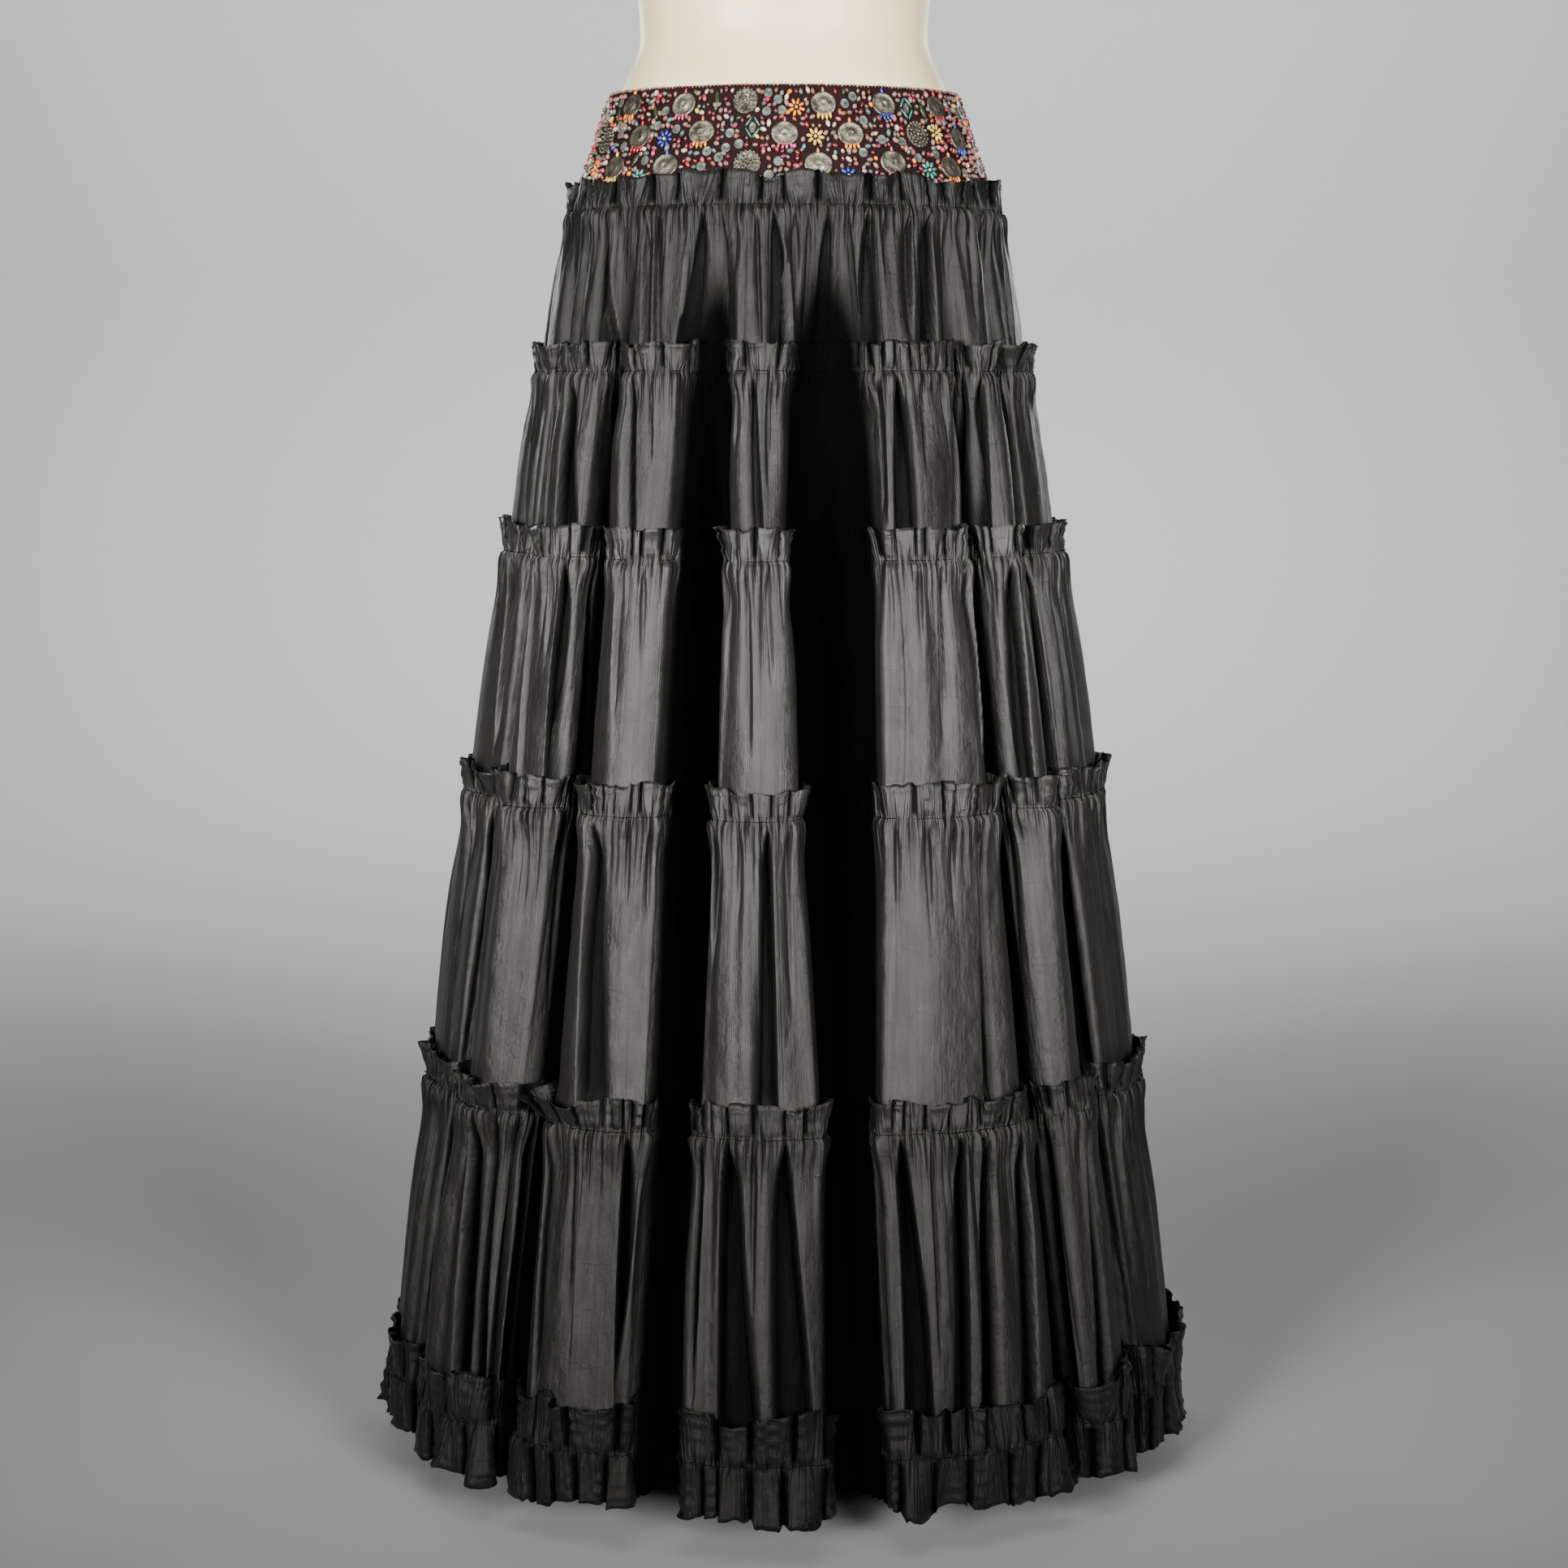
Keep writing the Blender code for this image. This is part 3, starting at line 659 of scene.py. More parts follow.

# %% [markdown]
# ## One gathered strip
# Each strip is a single sheet. It starts with a turned hem inside the ruffle's free edge, goes
# down to the gather line, where it is sewn to the strip above, and on down to the next seam.
# The ruffle above the line and the tier below it grow out of the same tucks.
# Stiff cloth doesn't ripple evenly: below the tucks it bends along long upright lines and stays
# flat between them. So the wider layers are rows of flat facets with rounded corners.
# The first and the last tier are fuller and hang in deep soft folds, the middle ones are flatter.
# In the table, heading is the ruffle's height, and each of its waves takes from the fewest to the
# most tucks. Fine, middle and wide are the heights of the three layers below the line. Nearest,
# farthest and deepest are for the narrow folds, and faded is the strip's share of painted light:
# below one, the strip's colour and specular are painted darker as painted shade, darker towards
# the top and the bottom of the skirt.

# %% Set how each strip is gathered
Strip = namedtuple(
    "Strip",
    "name seam next_seam heading fewest most ragged fine fine_reach middle wide rounding "
    "nearest farthest deepest crumple columns faded seed",
)
STRIPS = [
    Strip(
        name="tier_1", seam="seam_1", next_seam="seam_2",
        heading=0.0235, fewest=3, most=6, ragged=0.0055,
        fine=0.0046, fine_reach=0.024, middle=0.0022, wide=0.0018, rounding=0.0030,
        nearest=0.010, farthest=0.024, deepest=0.010,
        crumple=0.0002, columns=1120, faded=0.50, seed=21,
    ),
    Strip(
        name="tier_2", seam="seam_2", next_seam="seam_3",
        heading=0.0220, fewest=1, most=3, ragged=0.0036,
        fine=0.0046, fine_reach=0.024, middle=0.0023, wide=0.0034, rounding=0.0026,
        nearest=0.012, farthest=0.030, deepest=0.013,
        crumple=0.0002, columns=1120, faded=0.68, seed=22,
    ),
    Strip(
        name="tier_3", seam="seam_3", next_seam="seam_4",
        heading=0.0240, fewest=1, most=3, ragged=0.0032,
        fine=0.0046, fine_reach=0.024, middle=0.0020, wide=0.0036, rounding=0.0016,
        nearest=0.016, farthest=0.046, deepest=0.013,
        crumple=0.0003, columns=1120, faded=1.00, seed=23,
    ),
    Strip(
        name="tier_4", seam="seam_4", next_seam="seam_5",
        heading=0.0250, fewest=1, most=3, ragged=0.0036,
        fine=0.0046, fine_reach=0.026, middle=0.0021, wide=0.0042, rounding=0.0016,
        nearest=0.016, farthest=0.046, deepest=0.014,
        crumple=0.0003, columns=1160, faded=0.95, seed=24,
    ),
    Strip(
        name="tier_5", seam="seam_5", next_seam="seam_6",
        heading=0.0250, fewest=1, most=3, ragged=0.0042,
        fine=0.0050, fine_reach=0.030, middle=0.0032, wide=0.0048, rounding=0.0026,
        nearest=0.012, farthest=0.030, deepest=0.017,
        crumple=0.0002, columns=1240, faded=0.70, seed=25,
    ),
]
TUCK_SMALLEST = 0.0038
TUCK_LARGEST = 0.0085
LINE_CLEARANCE = 0.0014
HEM_TURN = 0.006
HEM_THICKNESS = 0.0008
TIER_ROWS = 23
CLOSING = 0.022
PUFF = 0.004
BOW = 0.004
print("strips:", ", ".join(strip.name for strip in STRIPS))

# %% [markdown]
# A row of cloth starts from the form's outline. Its corners are rounded a little, since cloth
# never turns on a knife edge, and the row is moved along its own true normal, so that tucks on
# a fold's wall stand out from that wall.
# Each point also keeps a painted-light share. Deep in a large fold, and wherever a share of
# painted shade is given for slits, gaps and narrow folds, the cloth's colour is painted black and
# its specular taken away, as painted shade.

# %% Lay one row of cloth
# Painted shade in the large folds starts at this depth and turns fully black over the next.
PAINTED_SHADE_FROM = 0.007
PAINTED_SHADE_OVER = 0.013
CORNER_WEIGHTS = np.array([1.0, 2.0, 3.0, 2.0, 1.0]) / 9.0


def rounded(values):
    """A closed row of values, averaged lightly with their neighbours."""
    total = np.zeros_like(values)
    for step, weight in enumerate(CORNER_WEIGHTS):
        total += weight * np.roll(values, step - len(CORNER_WEIGHTS) // 2, axis=0)
    return total


def cloth_row(z, columns, out, sideways=0.0, heights=None, hidden=0.0, drawn_up=0.0):
    """A closed row of points on the form, moved out and sideways, its painted-light share and how
    drawn up.
    """
    flat, depth = skin(z, columns.place)
    # Painted shade: deep in a fold, or where a hidden share is given, the colour goes to black.
    worn = (1.0 - eased((depth - PAINTED_SHADE_FROM) / PAINTED_SHADE_OVER)) * (1.0 - hidden)
    flat = rounded(rounded(flat))
    along = np.roll(flat, -1, axis=0) - np.roll(flat, 1, axis=0)
    along /= np.linalg.norm(along, axis=1)[:, None]
    normal = np.stack([along[:, 1], -along[:, 0]], axis=1)
    count = len(columns.place)
    moved = flat + normal * np.broadcast_to(out, count)[:, None]
    moved += along * np.broadcast_to(sideways, count)[:, None]
    level = np.full(count, z) if heights is None else heights
    return np.column_stack([moved, level, worn, np.full(count, drawn_up)])


def room_for_waves(z, columns, held):
    """The share of a wave's size that has room at each column: less inside the folds."""
    _, depth = skin(z, columns.place)
    return 1.0 - held * np.clip(depth / NO_FLARE_BELOW, 0.0, 1.0)


# %% [markdown]
# The ruffle above the line is drawn in at the stitches and springs out again at once. Each of
# its waves takes in two or three tucks. It swells sideways as well as outwards, so that its
# front turns flat and the gap beside it closes to a dark slit, as stiff ruffles do: dark partly
# from the gap's narrowness and partly from painted shade, since the cloth along it is painted
# black. Every wave has its own depth and its own height at the cut edge, and here and there a
# stretch flops over.

# %% Shape a ruffle's free part
Ruffle = namedtuple(
    "Ruffle", "tall direction depth fewest most lean lean_spread ragged crumple settle rows"
)
HEADING_DEPTH = 0.0060
HEADING_LEAN = math.radians(5.0)
HEADING_LEAN_SPREAD = math.radians(11.0)
HEADING_ROWS = 9
RUFFLE_SWELL = (0.10, 0.30)
HEADING_CRUMPLE = 0.0030
DENT_WIDE = 0.005
DENT_TALL = 0.009
FLOP_SHARE = 2.4
NICK = 0.0016
NICK_WIDE = 0.0035
WAVE_TILT = 0.8
WAVE_DEPTHS = (0.3, 1.25)
TUCK_HEIGHTS = (0.0014, 0.0050)
EDGE_CURL = (-0.0030, 0.0045)
EDGE_RAGGED = (-1.0, 0.6)
LEAN_WAVES = 34
FLOP_WAVES = 26
FLOP_FROM = 0.55
SPRING = 0.0016
SPRING_OVER = 0.006
FOLD_ROOM = 0.85
TUCKED_OVER = 0.008


def wave_values(place, edges, values):
    """One value for each wave, eased from the middle of a wave to the middle of the next."""
    middles = 0.5 * (edges[1:] + edges[:-1])
    length = edges[-1]
    knots = np.concatenate([[middles[-1] - length], middles, [middles[0] + length]])
    return np.interp(place, knots, np.concatenate([[values[-1]], values, [values[0]]]))


def ruffle_rows(ruffle, seam_z, columns, tucks, chance):
    """Rows from the gather line to a ruffle's free edge and its turned hem, up or down."""
    length = columns.length
    place = columns.distance
    edges = merged(tucks, ruffle.fewest, ruffle.most, chance)
    waves = len(edges) - 1
    number = np.clip(np.searchsorted(edges, place, side="right") - 1, 0, waves - 1)
    width = (edges[1:] - edges[:-1])[number]
    share = (place - edges[number]) / width
    tilt = chance.uniform(-WAVE_TILT, WAVE_TILT, waves)[number]
    depth = ruffle.depth * chance.uniform(*WAVE_DEPTHS, waves)
    wave = ridges(place, edges, depth, 0.6) * (1.0 + tilt * (2.0 * share - 1.0))
    swell = chance.uniform(*RUFFLE_SWELL, waves)[number]
    slide = -swell * width * np.sin(2.0 * np.pi * share) * np.sin(np.pi * share)
    fine = ridges(place, tucks, chance.uniform(*TUCK_HEIGHTS, len(tucks) - 1), 0.5)
    curl = wave_values(place, edges, chance.uniform(*EDGE_CURL, waves))
    lean = ruffle.lean + ruffle.lean_spread * slow_noise(place, length, LEAN_WAVES, chance)
    flopped = eased(4.0 * (slow_noise(place, length, FLOP_WAVES, chance) - FLOP_FROM))
    lean += FLOP_SHARE * ruffle.lean_spread * flopped
    cut_edge = ruffle.ragged * wave_values(place, edges, chance.uniform(*EDGE_RAGGED, waves))
    cut_edge += NICK * lattice_noise(place, 0.0 * place, NICK_WIDE, 1.0, chance)
    # Painted shade: the cloth beside each trough between waves is painted black, from a few
    # millimetres above the line.
    shaded = 1.0 - eased(ridges(place, edges, np.ones(waves), 1.0) / 0.70)
    dent_seed = int(chance.integers(1, 100000))
    coarse = ruffle.crumple / HEADING_CRUMPLE
    room = room_for_waves(seam_z, columns, FOLD_ROOM)
    plan = [(grown * ruffle.tall, 0.0) for grown in np.linspace(0.0, 1.0, ruffle.rows) ** 1.2]
    plan.append((ruffle.tall - 0.0003, HEM_THICKNESS))
    plan.append((ruffle.tall - HEM_TURN, HEM_THICKNESS))
    made = []
    for rise, inset in plan:
        grown = rise / ruffle.tall
        sprung = SPRING * eased(rise / SPRING_OVER)
        tucked = fine * math.exp(-rise / TUCKED_OVER)
        dents = np.random.default_rng(dent_seed)
        rises = np.full(len(place), rise)
        tucked = tucked + ruffle.crumple * grown * lattice_noise(
            place, rises, DENT_WIDE * coarse, DENT_TALL * coarse, dents
        )
        out = LINE_CLEARANCE - inset + tucked - ruffle.settle * ruffle.depth * grown
        out = out + (sprung + wave * grown ** 0.7 + curl * grown ** 3 + rise * np.sin(lean)) * room
        height = rise * np.cos(lean) + cut_edge * grown ** 1.5
        level = seam_z + ruffle.direction * height
        sideways = slide * grown ** 0.7 * room
        at = seam_z + ruffle.direction * rise
        shade = shaded * eased(rise / 0.005)
        drawn_up = 0.35 + 0.65 * math.exp(-rise / 0.007)
        made.append(cloth_row(at, columns, out, sideways, level, shade, drawn_up))
    return made


# %% [markdown]
# The tier below the line: tucks that fade within a few centimetres, the narrow folds, facets
# that run on down, and dents over them. The threads bow a little to one side on their way. All
# of it, the narrow folds last, eases away just above the next seam, where the next strip's
# ruffle covers it, so that the two strips meet along their seam.

# %% Shape a tier below its gather line
TUCK_SPREAD = (0.3, 1.3)
TUCK_FADE_SPREAD = (0.3, 1.7)
MIDDLE_SPREAD = (0.15, 1.3)
MIDDLE_FADE_SPREAD = (0.25, 1.3)
WIDE_SPREAD = (0.3, 1.2)
BOW_WAVES = 22
ROW_CROWDING = 1.35
DENT_CELLS = (0.030, 0.045)
CREASE_CELL = 0.034
GAP_DARK_OVER = 0.012
DRAWN_UP_OVER = 0.016
FOLD_SHADE = 0.90


def tier_rows(strip, columns, tucks, narrow_folds, chance):
    """Rows from the gather line down to the next seam."""
    top = LEVEL[strip.seam].z
    tall = top - LEVEL[strip.next_seam].z
    place = columns.distance
    length = columns.length
    fine_heights = strip.fine * chance.uniform(*TUCK_SPREAD, len(tucks) - 1)
    fine_reaches = strip.fine_reach * chance.uniform(*TUCK_FADE_SPREAD, len(tucks) - 1)
    middle = merged(tucks, 1, 3, chance)
    middle_heights = strip.middle * in_and_out(len(middle), *MIDDLE_SPREAD, chance)
    middle_reaches = chance.uniform(*MIDDLE_FADE_SPREAD, len(middle))
    wide = merged(middle, 2, 4, chance)
    wide_heights = strip.wide * in_and_out(len(wide), *WIDE_SPREAD, chance)
    bow = BOW * slow_noise(place, length, BOW_WAVES, chance)
    room = room_for_waves(top - 0.5 * tall, columns, FOLD_ROOM)
    # Painted shade: the gaps between tucks are painted black just below the gather line.
    tuck_gaps = 1.0 - eased(ridges(place, tucks, np.ones(len(tucks) - 1), 1.0) / 0.5)
    dent_seed = int(chance.integers(1, 100000))
    made = []
    for drop in tall * np.linspace(0.0, 1.0, TIER_ROWS) ** ROW_CROWDING:
        share = drop / tall
        fine = ridges(place, tucks, fine_heights * np.exp(-(drop / fine_reaches) ** 1.6), 0.5)
        faded = middle_heights * between(0.35, 1.0, 1.0 - eased((share - 0.3) / middle_reaches))
        mid = facets(place, middle, faded, strip.rounding) * eased(drop / 0.028)
        broad = facets(place, wide, wide_heights, 3.0 * strip.rounding) * eased(share / 0.45)
        closing = 1.0 - eased((drop - tall + CLOSING) / CLOSING)
        narrow = closing * narrow_depths(place, length, narrow_folds, drop, share)
        dents = np.random.default_rng(dent_seed)
        down = np.full(len(place), drop)
        crumple = 1.5 * lattice_noise(place, down, *DENT_CELLS, dents)
        crumple += crease_noise(place, down, CREASE_CELL, dents)
        crumple *= strip.crumple * eased(share / 0.1)
        fades = 1.0 - eased((share - 0.87) / 0.13)
        settled = 0.4 * (strip.middle + strip.wide) * eased(share / 0.2)
        sprung = SPRING * eased(drop / SPRING_OVER) * fades
        sprung = LINE_CLEARANCE * (1.0 - eased(drop / 0.030)) + sprung
        puff = PUFF * math.sin(math.pi * share ** 0.7)
        waves = (fine + mid + broad + crumple - settled + puff) * fades - narrow
        sideways = bow * math.sin(math.pi * share) * room
        # Painted shade: the narrow folds are painted black inside where they are deep, and the tuck
        # gaps just below the line.
        in_folds = FOLD_SHADE * eased(narrow / NARROW_DARK)
        shade = np.maximum(tuck_gaps * math.exp(-drop / GAP_DARK_OVER), in_folds)
        out = sprung + waves * room
        drawn_up = math.exp(-drop / DRAWN_UP_OVER)
        made.append(cloth_row(top - drop, columns, out, sideways, None, shade, drawn_up))
    return made


print("rows in a tier:", HEADING_ROWS + 2 + TIER_ROWS)

# %% [markdown]
# ## Finishes from nodes
# Every surface gets a material made of nodes. A few helpers keep that short: one adds a node
# and joins its inputs, one makes noise whose marks have a real size in metres, one turns noise
# into a colour, and one stacks bumps.

# %% Make the helpers for materials
def join_inputs(tree, node, inputs):
    """Sets a node's inputs to values, or joins them to other nodes' outputs."""
    for name, value in inputs.items():
        if isinstance(value, bpy.types.NodeSocket):
            tree.links.new(value, node.inputs[name])
        else:
            node.inputs[name].default_value = value


def add_node(tree, kind, inputs, **settings):
    """A new node with its settings and inputs."""
    made = tree.nodes.new(kind)
    for name, value in settings.items():
        setattr(made, name, value)
    join_inputs(tree, made, inputs)
    return made


def uneven(tree, place, size, detail=2.0):
    """Noise from 0 to 1 whose marks have the given size in metres along each axis."""
    scale = [1.0 / metres for metres in size]
    moved = add_node(tree, "ShaderNodeMapping", {"Vector": place, "Scale": scale})
    noise = {"Vector": moved.outputs[0], "Scale": 1.0, "Detail": detail}
    return add_node(tree, "ShaderNodeTexNoise", noise).outputs[0]


def tinted(tree, amount, first, last, low=0.35, high=0.65):
    """A colour that runs from the first to the last as an amount rises from low to high."""
    ramp = add_node(tree, "ShaderNodeValToRGB", {"Fac": amount})
    for element, place, color in zip(ramp.color_ramp.elements, (low, high), (first, last)):
        element.position = place
        element.color = (*color, 1.0)
    return ramp.outputs[0]


def spread_over(tree, amount, first, last, low=0.35, high=0.65):
    """A value that runs from the first to the last as an amount rises from low to high."""
    ends = {"Value": amount, "From Min": low, "From Max": high, "To Min": first, "To Max": last}
    return add_node(tree, "ShaderNodeMapRange", ends).outputs[0]


def bumped(tree, layers):
    """A normal from several bumps, each a height and how far it stands up in metres."""
    normal = None
    for height, distance in layers:
        inputs = {"Height": height, "Distance": distance}
        if normal:
            inputs["Normal"] = normal
        normal = add_node(tree, "ShaderNodeBump", inputs).outputs[0]
    return normal


def object_place(tree):
    """The place on the piece itself, in metres."""
    return add_node(tree, "ShaderNodeTexCoord", {}).outputs["Object"]


print("helpers ready")

# %% [markdown]
# The taffeta is a plain weave of fine stiff threads, with a soft warm grey sheen and thicker
# threads here and there that show as faint streaks along the cloth. Small dents stay in it from
# wear. The velvet is very dark, with a pile that lights up at its edges. The form is a satin
# cream shell and the stand is brushed steel.

# %% Mix the cloth, the shell and the steel
THREAD = 0.0007
# The black painted into folds, gaps and slits as painted shade.
PAINTED_SHADE_BLACK = 0.0015
WAVE_PERIOD = 0.314
SLUB_SIZE = (0.0026, 0.110, 1.0)
PLEAT_SIZE = (0.0017, 0.030, 1.0)
DENT_SIZE = (0.011, 0.026, 1.0)
CREASE_SIZE = (0.060, 0.045, 1.0)
CREASE_WIDE = 0.020
DENT_HEIGHT = 0.0022
SLUB_HEIGHT = 0.0003
PLEAT_HEIGHT = 0.0036
CREASE_HEIGHT = 0.00012
THREAD_HEIGHT = 0.00006
WARMTH = (1.05, 1.0, 0.95)


def weave(tree, threads, direction):
    """Fine threads that run one way, from 0 to 1."""
    waves = {"Vector": threads, "Scale": WAVE_PERIOD / THREAD}
    return add_node(tree, "ShaderNodeTexWave", waves, bands_direction=direction).outputs[1]


def taffeta_finish(name, shade):
    """Crisp black taffeta with slubs, a fine weave and small dents."""
    made, tree, shader = node_material(name)
    threads = add_node(tree, "ShaderNodeUVMap", {}, uv_map="threads").outputs[0]
    slubs = uneven(tree, threads, SLUB_SIZE, 3.0)
    pleats = uneven(tree, threads, PLEAT_SIZE, 1.0)
    dents = uneven(tree, threads, DENT_SIZE, 3.0)
    middle = uneven(tree, threads, CREASE_SIZE, 3.0)
    off = add_node(tree, "ShaderNodeMath", {0: middle, 1: 0.5}, operation="SUBTRACT")
    near = add_node(tree, "ShaderNodeMath", {0: off.outputs[0]}, operation="ABSOLUTE")
    creases = spread_over(tree, near.outputs[0], 1.0, 0.0, 0.0, CREASE_WIDE)
    # Painted shade: as the painted-lit share falls to nothing, the colour runs to black and the
    # specular to nothing.
    worn = add_node(tree, "ShaderNodeAttribute", {}, attribute_name="worn").outputs["Fac"]
    drawn_up = add_node(tree, "ShaderNodeAttribute", {}, attribute_name="drawn_up").outputs["Fac"]
    pleated = add_node(tree, "ShaderNodeMath", {0: pleats, 1: drawn_up}, operation="MULTIPLY")
    streaks = spread_over(tree, slubs, 0.55, 0.64)
    # Specular follows the painted-lit share, so the painted shade in the folds has no reflection.
    sheen = add_node(tree, "ShaderNodeMath", {0: streaks, 1: worn}, operation="MULTIPLY")
    dark = [0.80 * shade * part for part in WARMTH]
    light = [1.20 * shade * part for part in WARMTH]
    # The cloth's own colour, uneven along its slubs, where no painted shade is laid.
    faded = tinted(tree, slubs, dark, light)
    black = (PAINTED_SHADE_BLACK, PAINTED_SHADE_BLACK, PAINTED_SHADE_BLACK, 1.0)
    color = add_node(tree, "ShaderNodeMixRGB", {"Fac": worn, "Color1": black, "Color2": faded})
    layers = [
        (dents, DENT_HEIGHT),
        (slubs, SLUB_HEIGHT),
        (pleated.outputs[0], PLEAT_HEIGHT),
        (creases, CREASE_HEIGHT),
        (weave(tree, threads, "X"), THREAD_HEIGHT),
        (weave(tree, threads, "Y"), THREAD_HEIGHT),
    ]
    look = {
        "Base Color": color.outputs[0],
        "Roughness": spread_over(tree, dents, 0.42, 0.54),
        "Specular IOR Level": sheen.outputs[0],
        "Specular Tint": (1.0, 0.965, 0.93, 1.0),
        "Normal": bumped(tree, layers),
    }
    join_inputs(tree, shader, look)
    return made


def velvet_finish():
    """Nearly black burgundy velvet."""
    made, tree, shader = node_material("burgundy velvet")
    place = object_place(tree)
    pile = uneven(tree, place, (0.0007, 0.0007, 0.0007), 1.0)
    nap = uneven(tree, place, (0.012, 0.012, 0.018))
    look = {
        "Base Color": tinted(tree, nap, (0.006, 0.0014, 0.0017), (0.014, 0.0030, 0.0033)),
        "Roughness": spread_over(tree, nap, 0.80, 0.95),
        "Specular IOR Level": 0.15,
        "Sheen Weight": 0.04,
        "Sheen Roughness": 0.35,
        "Sheen Tint": (0.40, 0.10, 0.10, 1.0),
        "Normal": bumped(tree, [(pile, 0.0004)]),
    }
    join_inputs(tree, shader, look)
    return made


def shell_finish():
    """A satin cream shell with very slight unevenness."""
    made, tree, shader = node_material("cream shell")
    place = object_place(tree)
    clouds = uneven(tree, place, (0.06, 0.06, 0.09))
    skin_grain = uneven(tree, place, (0.0012, 0.0012, 0.0012), 1.0)
    look = {
        "Base Color": tinted(tree, clouds, (0.70, 0.585, 0.325), (0.74, 0.630, 0.385)),
        "Roughness": spread_over(tree, clouds, 0.40, 0.52),
        "Coat Weight": 0.12,
        "Coat Roughness": 0.3,
        "Normal": bumped(tree, [(clouds, 0.0010), (skin_grain, 0.00004)]),
    }
    join_inputs(tree, shader, look)
    return made


def brushed_finish(name, grain):
    """Brushed steel whose scratches have the given size along each axis."""
    made, tree, shader = node_material(name)
    place = object_place(tree)
    scratches = uneven(tree, place, grain, 4.0)
    clouds = uneven(tree, place, (0.03, 0.03, 0.03))
    look = {
        "Base Color": tinted(tree, clouds, (0.50, 0.50, 0.51), (0.60, 0.60, 0.605)),
        "Metallic": 1.0,
        "Roughness": spread_over(tree, scratches, 0.22, 0.42),
        "Normal": bumped(tree, [(scratches, 0.00005)]),
    }
    join_inputs(tree, shader, look)
    return made


TAFFETA_SHADE = 0.010
taffeta = taffeta_finish("black taffeta", TAFFETA_SHADE)
velvet = velvet_finish()
cream_shell = shell_finish()
pole_steel = brushed_finish("brushed steel pole", (0.0006, 0.0006, 0.060))
base_steel = brushed_finish("brushed steel base", (0.060, 0.0006, 0.060))
# The stitches carry no painted-lit share, so the thread takes the painted shade's black and no
# specular all along.
thread_black = taffeta_finish("black thread", 0.6 * TAFFETA_SHADE)
mixed = (taffeta, velvet, cream_shell, pole_steel, base_steel, thread_black)
print("finishes:", ", ".join(finish.name for finish in mixed))

# %% [markdown]
# ## Mesh from rows
# A grid of points becomes a mesh of four-sided faces. The distance along the seam and down the
# cloth is kept as a UV map in real metres, so that the weave later follows the threads however
# the cloth is folded. The round is split at the side seams, where the maker joined front to
# back, and each half is drawn back by half of the seam's gap.

# %% Turn rows into a front and a back piece
def grid_mesh(name, grid, across, down):
    """A smooth mesh from a grid of points, with its place on the flat cloth as a UV map."""
    rows, columns, _ = grid.shape
    index = np.arange(rows * columns).reshape(rows, columns)
    corners = [index[:-1, :-1], index[1:, :-1], index[1:, 1:], index[:-1, 1:]]
    faces = np.stack([corner.ravel() for corner in corners], axis=1)
    mesh = bpy.data.meshes.new(name)
    mesh.vertices.add(rows * columns)
    mesh.vertices.foreach_set("co", grid.reshape(-1).astype(np.float32))
    mesh.loops.add(faces.size)
    mesh.loops.foreach_set("vertex_index", faces.reshape(-1).astype(np.int32))
    mesh.polygons.add(len(faces))
    mesh.polygons.foreach_set("loop_start", np.arange(0, faces.size, 4, dtype=np.int32))
    mesh.update(calc_edges=True)
    threads = mesh.uv_layers.new(name="threads")
    flat = np.empty((rows, columns, 2))
    flat[:, :, 0] = across
    flat[:, :, 1] = down[:, None]
    uv = flat.reshape(-1, 2)[faces.reshape(-1)].astype(np.float32)
    threads.data.foreach_set("uv", uv.ravel())
    mesh.shade_smooth()
    return mesh


def add_piece(mesh, node=None):
    """A piece of the dressed model, which may take the place of a plain node."""
    piece = bpy.data.objects.new(mesh.name, mesh)
    bpy.context.scene.collection.objects.link(piece)
    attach(piece, "root")
    if node:
        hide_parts(node)
    return piece


def sew_round(name, rows, columns, material, faded):
    """The front and the back piece of a sheet that goes all round, its painted light scaled by a
    share.
    """
    grid = np.stack(rows)
    steps = [np.linalg.norm(b[:, :3] - a[:, :3], axis=1).mean() for a, b in zip(rows, rows[1:])]
    down = np.concatenate([[0.0], np.cumsum(steps)])
    total = grid.shape[1]
    around = np.append(columns.distance, columns.length)
    made = []
    for side, first, last in (("front", 0, columns.front), ("back", columns.front, total)):
        picked = [step % total for step in range(first, last + 1)]
        half = grid[:, picked].copy()
        # Painted shade: the strip's faded share darkens its colour and specular all over, more
        # towards the top and the bottom of the skirt.
        worn = faded * half[:, :, 3].ravel().astype(np.float32)
        drawn_up = half[:, :, 4].ravel().astype(np.float32)
        half = half[:, :, :3]
        for end, neighbour in ((0, 1), (-1, -2)):
            along = half[:, neighbour] - half[:, end]
            along /= np.linalg.norm(along, axis=1)[:, None]
            half[:, end] += along * SEAM_GAP / 2
        mesh = grid_mesh(f"{name}_{side}_cloth", half, around[first:last + 1], down)
        mesh.attributes.new("worn", "FLOAT", "POINT").data.foreach_set("value", worn)
        mesh.attributes.new("drawn_up", "FLOAT", "POINT").data.foreach_set("value", drawn_up)
        mesh.materials.append(material)
        made.append(add_piece(mesh, f"{name}_{side}"))
    return made


print("each piece keeps its flat measures in a UV map")

# %% [markdown]
# ## The five tiers
# On a real skirt each strip is sewn into a ring, gathered, and sewn to the one above, from the
# hip down. They are made in the same order here, each from its own row of the table and its own
# seed, so that no two tiers share their folds.

